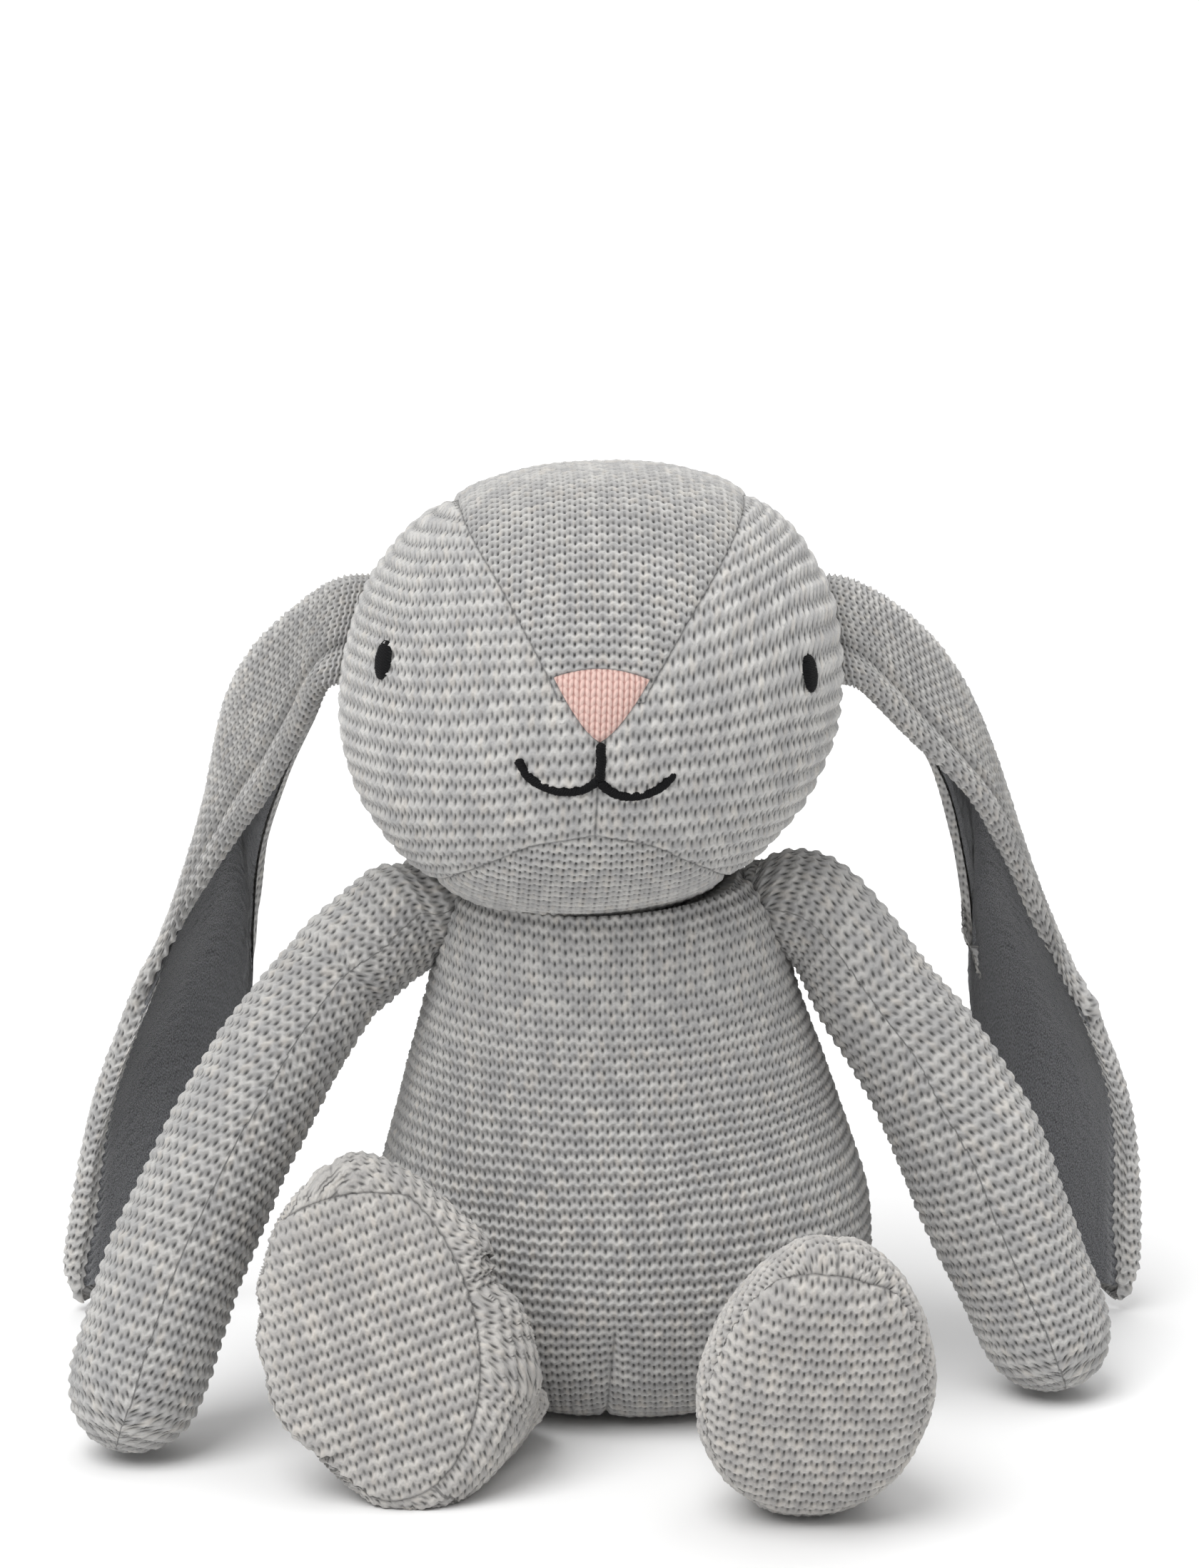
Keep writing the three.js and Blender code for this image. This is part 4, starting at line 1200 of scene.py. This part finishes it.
def eye_mesh(name, tree, side):
    """A satin-stitched oval: level threads side by side, with slightly ragged ends."""
    half_width, half_height, thread = 4.3, 5.4, 0.45
    centre, _ = on_head(tree, side * EYE_PLACE[0], EYE_PLACE[1])
    out = unit(centre - HEAD_CENTRE)
    upright = np.array([0.1 * side, 0, 1.0])
    up = unit(upright - out * (upright @ out))
    across = np.cross(up, out)
    rows, columns = 110, 36
    b = np.linspace(-0.995, 0.995, rows)[:, None] * half_height
    a = np.linspace(-1, 1, columns)[None, :]
    number = np.round(b / thread)
    ragged = 0.45 * (per_stitch(number, np.sign(a), 7 + side) - 0.5)
    oval = np.sqrt(1 - (b / (half_height * 1.02)) ** 2)
    reach = half_width * oval + ragged
    groove = np.abs(np.sin(np.pi * b / thread))
    dome = 1.25 * (1 - np.abs(a) ** 3.5) * oval - 0.35
    height = dome + 0.2 * groove
    bow = -0.5 * (a * reach) ** 2 / 60 - 0.5 * b**2 / 62
    points = centre + (a * reach)[..., None] * across + (b + 0 * a)[..., None] * up
    points = points + (height + bow)[..., None] * out
    knit = np.stack([a * reach, b + 0 * a, 0 * a + 0 * b], axis=2)
    return open_mesh(name, points, knit, 1)


def stroke(tree, line, seed):
    """One line of satin stitch over the head: short threads across it, side by side."""
    half_width, thread, cell = 1.3, 0.42, 0.13
    coarse = through([(x, 0, z) for x, z in line], np.linspace(0, 1, 40))
    path, normal = np.array([on_head(tree, x, z) for x, _, z in coarse]).transpose(1, 0, 2)
    run = length_along(path)
    s = np.arange(0, run[-1], cell)
    path = read_off(s, run, path)
    normal = unit(read_off(s, run, normal))
    across = unit(np.cross(unit(np.gradient(path, axis=0)), normal))
    a = np.linspace(-1, 1, 15)[None, :]
    slant = s[:, None] + 0.25 * a
    number = np.floor(slant / thread)
    ragged = 0.32 * (per_stitch(number, np.sign(a), seed) - 0.4)
    from_end = np.minimum(s, run[-1] - s)[:, None]
    taper = np.sqrt(np.clip(from_end / 1.0, 0.02, 1))
    width = (half_width + ragged) * taper
    height = (1.1 * (1 - np.abs(a) ** 3) + 0.16 * np.abs(np.sin(np.pi * slant / thread))) * taper - 0.25
    points = path[:, None] + (a * width)[..., None] * across[:, None] + height[..., None] * normal[:, None]
    knit = np.stack([a * width, slant, 0 * slant], axis=2)
    return points, knit


def mouth_mesh(tree):
    lines = [
        [(0.2, -1.6), (0.5, -7), (0.2, -12.6)],
        [(0.3, -11.8), (-4.5, -15), (-11.5, -15.4), (-18, -12.4), (-21.6, -7)],
        [(-0.3, -12), (4.5, -15.8), (10.5, -16.5), (16.5, -14.3), (20.4, -10)],
    ]
    points, faces, knit, used = [], [], [], 0
    for number, line in enumerate(lines):
        grid, on_thread = stroke(tree, line, number)
        faces.append(grid_faces(*grid.shape[:2], False)[:, ::-1] + used)
        used += grid.shape[0] * grid.shape[1]
        points.append(grid.reshape(-1, 3))
        knit.append(on_thread.reshape(-1, 3))
    return mesh_from("mouth", np.vstack(points), [np.vstack(faces)], {"knit": np.vstack(knit)})


def tube(points, radius, closed=True):
    """A round thread through points."""
    if closed:
        tangent = unit(np.roll(points, -1, axis=0) - np.roll(points, 1, axis=0))
    else:
        tangent = unit(np.gradient(points, axis=0))
    helper = np.array([0.31, 0.53, 0.79])
    side = unit(np.cross(tangent, helper))
    other = np.cross(tangent, side)
    angle = np.pi / 4 * np.arange(8)
    ring = np.cos(angle)[None, :, None] * side[:, None] + np.sin(angle)[None, :, None] * other[:, None]
    grid = points[:, None] + radius * ring
    if closed:
        grid = np.concatenate([grid, grid[:1]])
    return grid


def whipped_seam(node, turns):
    """Small overcast stitches wound round the loop that a CAD seam node marks."""
    low, high = (np.array(corner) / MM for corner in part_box(node))
    points = coordinates(frame["nodes"][node].data) / MM
    centre = (low + high) / 2
    _, _, axes = np.linalg.svd(points - centre, full_matrices=False)
    reach = [np.abs((points - centre) @ axis).max() - 0.7 for axis in axes[:2]]
    steps = turns * 14
    angle = 2 * np.pi * np.arange(steps) / steps
    loop = centre + np.outer(np.cos(angle) * reach[0], axes[0]) + np.outer(np.sin(angle) * reach[1], axes[1])
    outwards = unit(loop - centre)
    wind = turns * angle
    path = loop + 0.65 * (np.cos(wind)[:, None] * outwards + np.sin(wind)[:, None] * axes[2])
    return tube(path, 0.38)


def ladder_seam(node, body):
    """A zigzag of closing stitches down the middle of the back, just over the knit."""
    low, high = (np.array(corner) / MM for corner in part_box(node))
    points = body.points.reshape(body.grid.shape)
    back = points[:, points.shape[1] // 2]
    order = np.argsort(back[:, 2])
    z = np.arange(low[2], high[2], 0.4)
    y = np.interp(z, back[order, 2], back[order, 1])
    x = 0.5 + 1.3 * np.clip(2.2 * np.sin(2 * np.pi * z / 5.2), -1, 1)
    return tube(np.stack([x, y - 0.1, z], axis=1), 0.4, closed=False)


def thread_piece(name, grid, body, node):
    rows, columns = grid.shape[:2]
    faces = grid_faces(rows, columns, True)
    u, v = np.meshgrid(np.arange(columns) * 0.3, np.arange(rows) * 0.35)
    knit = np.stack([u, v, 0 * u], axis=2).reshape(-1, 3)
    mesh = mesh_from(name, grid.reshape(-1, 3), [faces], {"knit": knit})
    add_piece(name, mesh, looks["seam"], body, node)


# ---------------------------------------------------------------- putting it together

def build_rabbit():
    forms = puffed_fillings()
    trees = {node: tree_of(ob) for node, ob in forms.items()}
    bodies = {n: ob.get("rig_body") for n, ob in frame["nodes"].items()}
    for node, ob in forms.items():
        shrunk(ob, FILLING_GAP)
        ob.data.materials.append(looks["filling"])
        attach(ob, bodies[node])
        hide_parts(node)
    pouch = frame["nodes"]["seat_bead_pouch"].data
    pouch.materials.clear()
    pouch.materials.append(looks["filling"])
    head = head_panels(trees["head_stuffing"])
    whole = head.quads[head.shape[1]:-head.shape[1]]
    head_tree = BVHTree.FromPolygons(head.points.tolist(), whole.tolist())
    body = body_panels(trees["body_stuffing"])
    body_tree = BVHTree.FromPolygons(body.points.tolist(), body.quads.tolist())
    low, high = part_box("tail_stuffing")
    tail_cover(trees["tail_stuffing"], np.array((low + high) / 2) / MM)
    for side, name in SIDES:
        arm_cover(name, trees[f"{name}_arm_stuffing"], body_tree)
        leg_panels(name, trees[f"{name}_leg_stuffing"])
        ear(name, side)
        add_piece(f"{name}_eye_thread", eye_mesh(f"{name}_eye", head_tree, side), looks["black"], "head",
                  f"{name}_eye")
        for joint, rider, turns in (("shoulder", f"{name}_shoulder", 12), ("hip", "torso", 22)):
            node = f"{name}_{joint}_seam"
            thread_piece(f"{node}_thread", whipped_seam(node, turns), rider, node)
    add_piece("mouth_thread", mouth_mesh(head_tree), looks["black"], "head", "mouth_embroidery")
    thread_piece("neck_seam_thread", whipped_seam("neck_seam", 30), "neck", "neck_seam")
    thread_piece("back_closing_thread", ladder_seam("back_closing_seam", body), "torso", "back_closing_seam")


# ---------------------------------------------------------------- floor, light and camera

def lowered_floor():
    """Geometry nodes that lower the floor to the lowest point of the CAD solids, where a limb hangs lower."""
    solids = bpy.data.collections.new("solids")
    for ob in frame["nodes"].values():
        solids.objects.link(ob)
    group = bpy.data.node_groups.new("lowered_floor", "GeometryNodeTree")
    for way in ("INPUT", "OUTPUT"):
        group.interface.new_socket("Geometry", in_out=way, socket_type="NodeSocketGeometry")
    kinds = ["NodeGroupInput", "GeometryNodeCollectionInfo", "GeometryNodeRealizeInstances",
             "GeometryNodeBoundBox", "ShaderNodeSeparateXYZ", "ShaderNodeMath", "ShaderNodeCombineXYZ",
             "GeometryNodeTransform", "NodeGroupOutput"]
    start, toy, whole, box, corner, lower, shift, move, end = [group.nodes.new(kind) for kind in kinds]
    toy.transform_space = "RELATIVE"
    toy.inputs["Collection"].default_value = solids
    lower.operation = "MINIMUM"
    lower.inputs[1].default_value = 0
    links = ((toy, 0, whole, 0), (whole, 0, box, 0), (box, "Min", corner, 0), (corner, "Z", lower, 0),
             (lower, 0, shift, "Z"), (shift, 0, move, "Translation"), (start, 0, move, "Geometry"),
             (move, 0, end, 0))
    for source, output, target, entry in links:
        group.links.new(source.outputs[output], target.inputs[entry])
    return group


def floor():
    bpy.ops.mesh.primitive_plane_add(size=30)
    plane = bpy.context.object
    plane.name = "floor"
    t = Tree("pale_floor")
    t.principled.inputs["Base Color"].default_value = (0.93, 0.93, 0.93, 1)
    t.principled.inputs["Roughness"].default_value = 0.9
    plane.data.materials.append(t.material)
    plane.modifiers.new("under_the_toy", "NODES").node_group = lowered_floor()


def sun(name, turn, strength, spread):
    data = bpy.data.lights.new(name, "SUN")
    data.energy = strength
    data.angle = math.radians(spread)
    placed(name, data).rotation_euler = [math.radians(a) for a in turn]


def stage():
    floor()
    world = bpy.data.worlds.new("studio")
    world.use_nodes = True
    background = world.node_tree.nodes["Background"]
    background.inputs["Color"].default_value = (1, 1, 1, 1)
    seen = world.node_tree.nodes.new("ShaderNodeLightPath").outputs["Is Camera Ray"]
    strength = world.node_tree.nodes.new("ShaderNodeMapRange")
    strength.inputs["To Min"].default_value = SURROUNDING_LIGHT
    world.node_tree.links.new(seen, strength.inputs["Value"])
    world.node_tree.links.new(strength.outputs["Result"], background.inputs["Strength"])
    bpy.context.scene.world = world
    sun("key", (34, 0, -36), 2.1, 42)
    sun("top", (-8, 6, 0), 1.0, 60)
    bpy.context.scene.view_settings.view_transform = "Standard"
    camera = bpy.data.cameras.new("camera")
    camera.sensor_width = 36
    camera.lens = LENS
    camera.clip_start = 0.05
    holder = placed("camera", camera)
    holder.location = CAMERA_PLACE
    holder.rotation_euler = (math.radians(CAMERA_TILT), 0, 0)
    bpy.context.scene.camera = holder


build_rabbit()
stage()
bpy.context.view_layer.update()
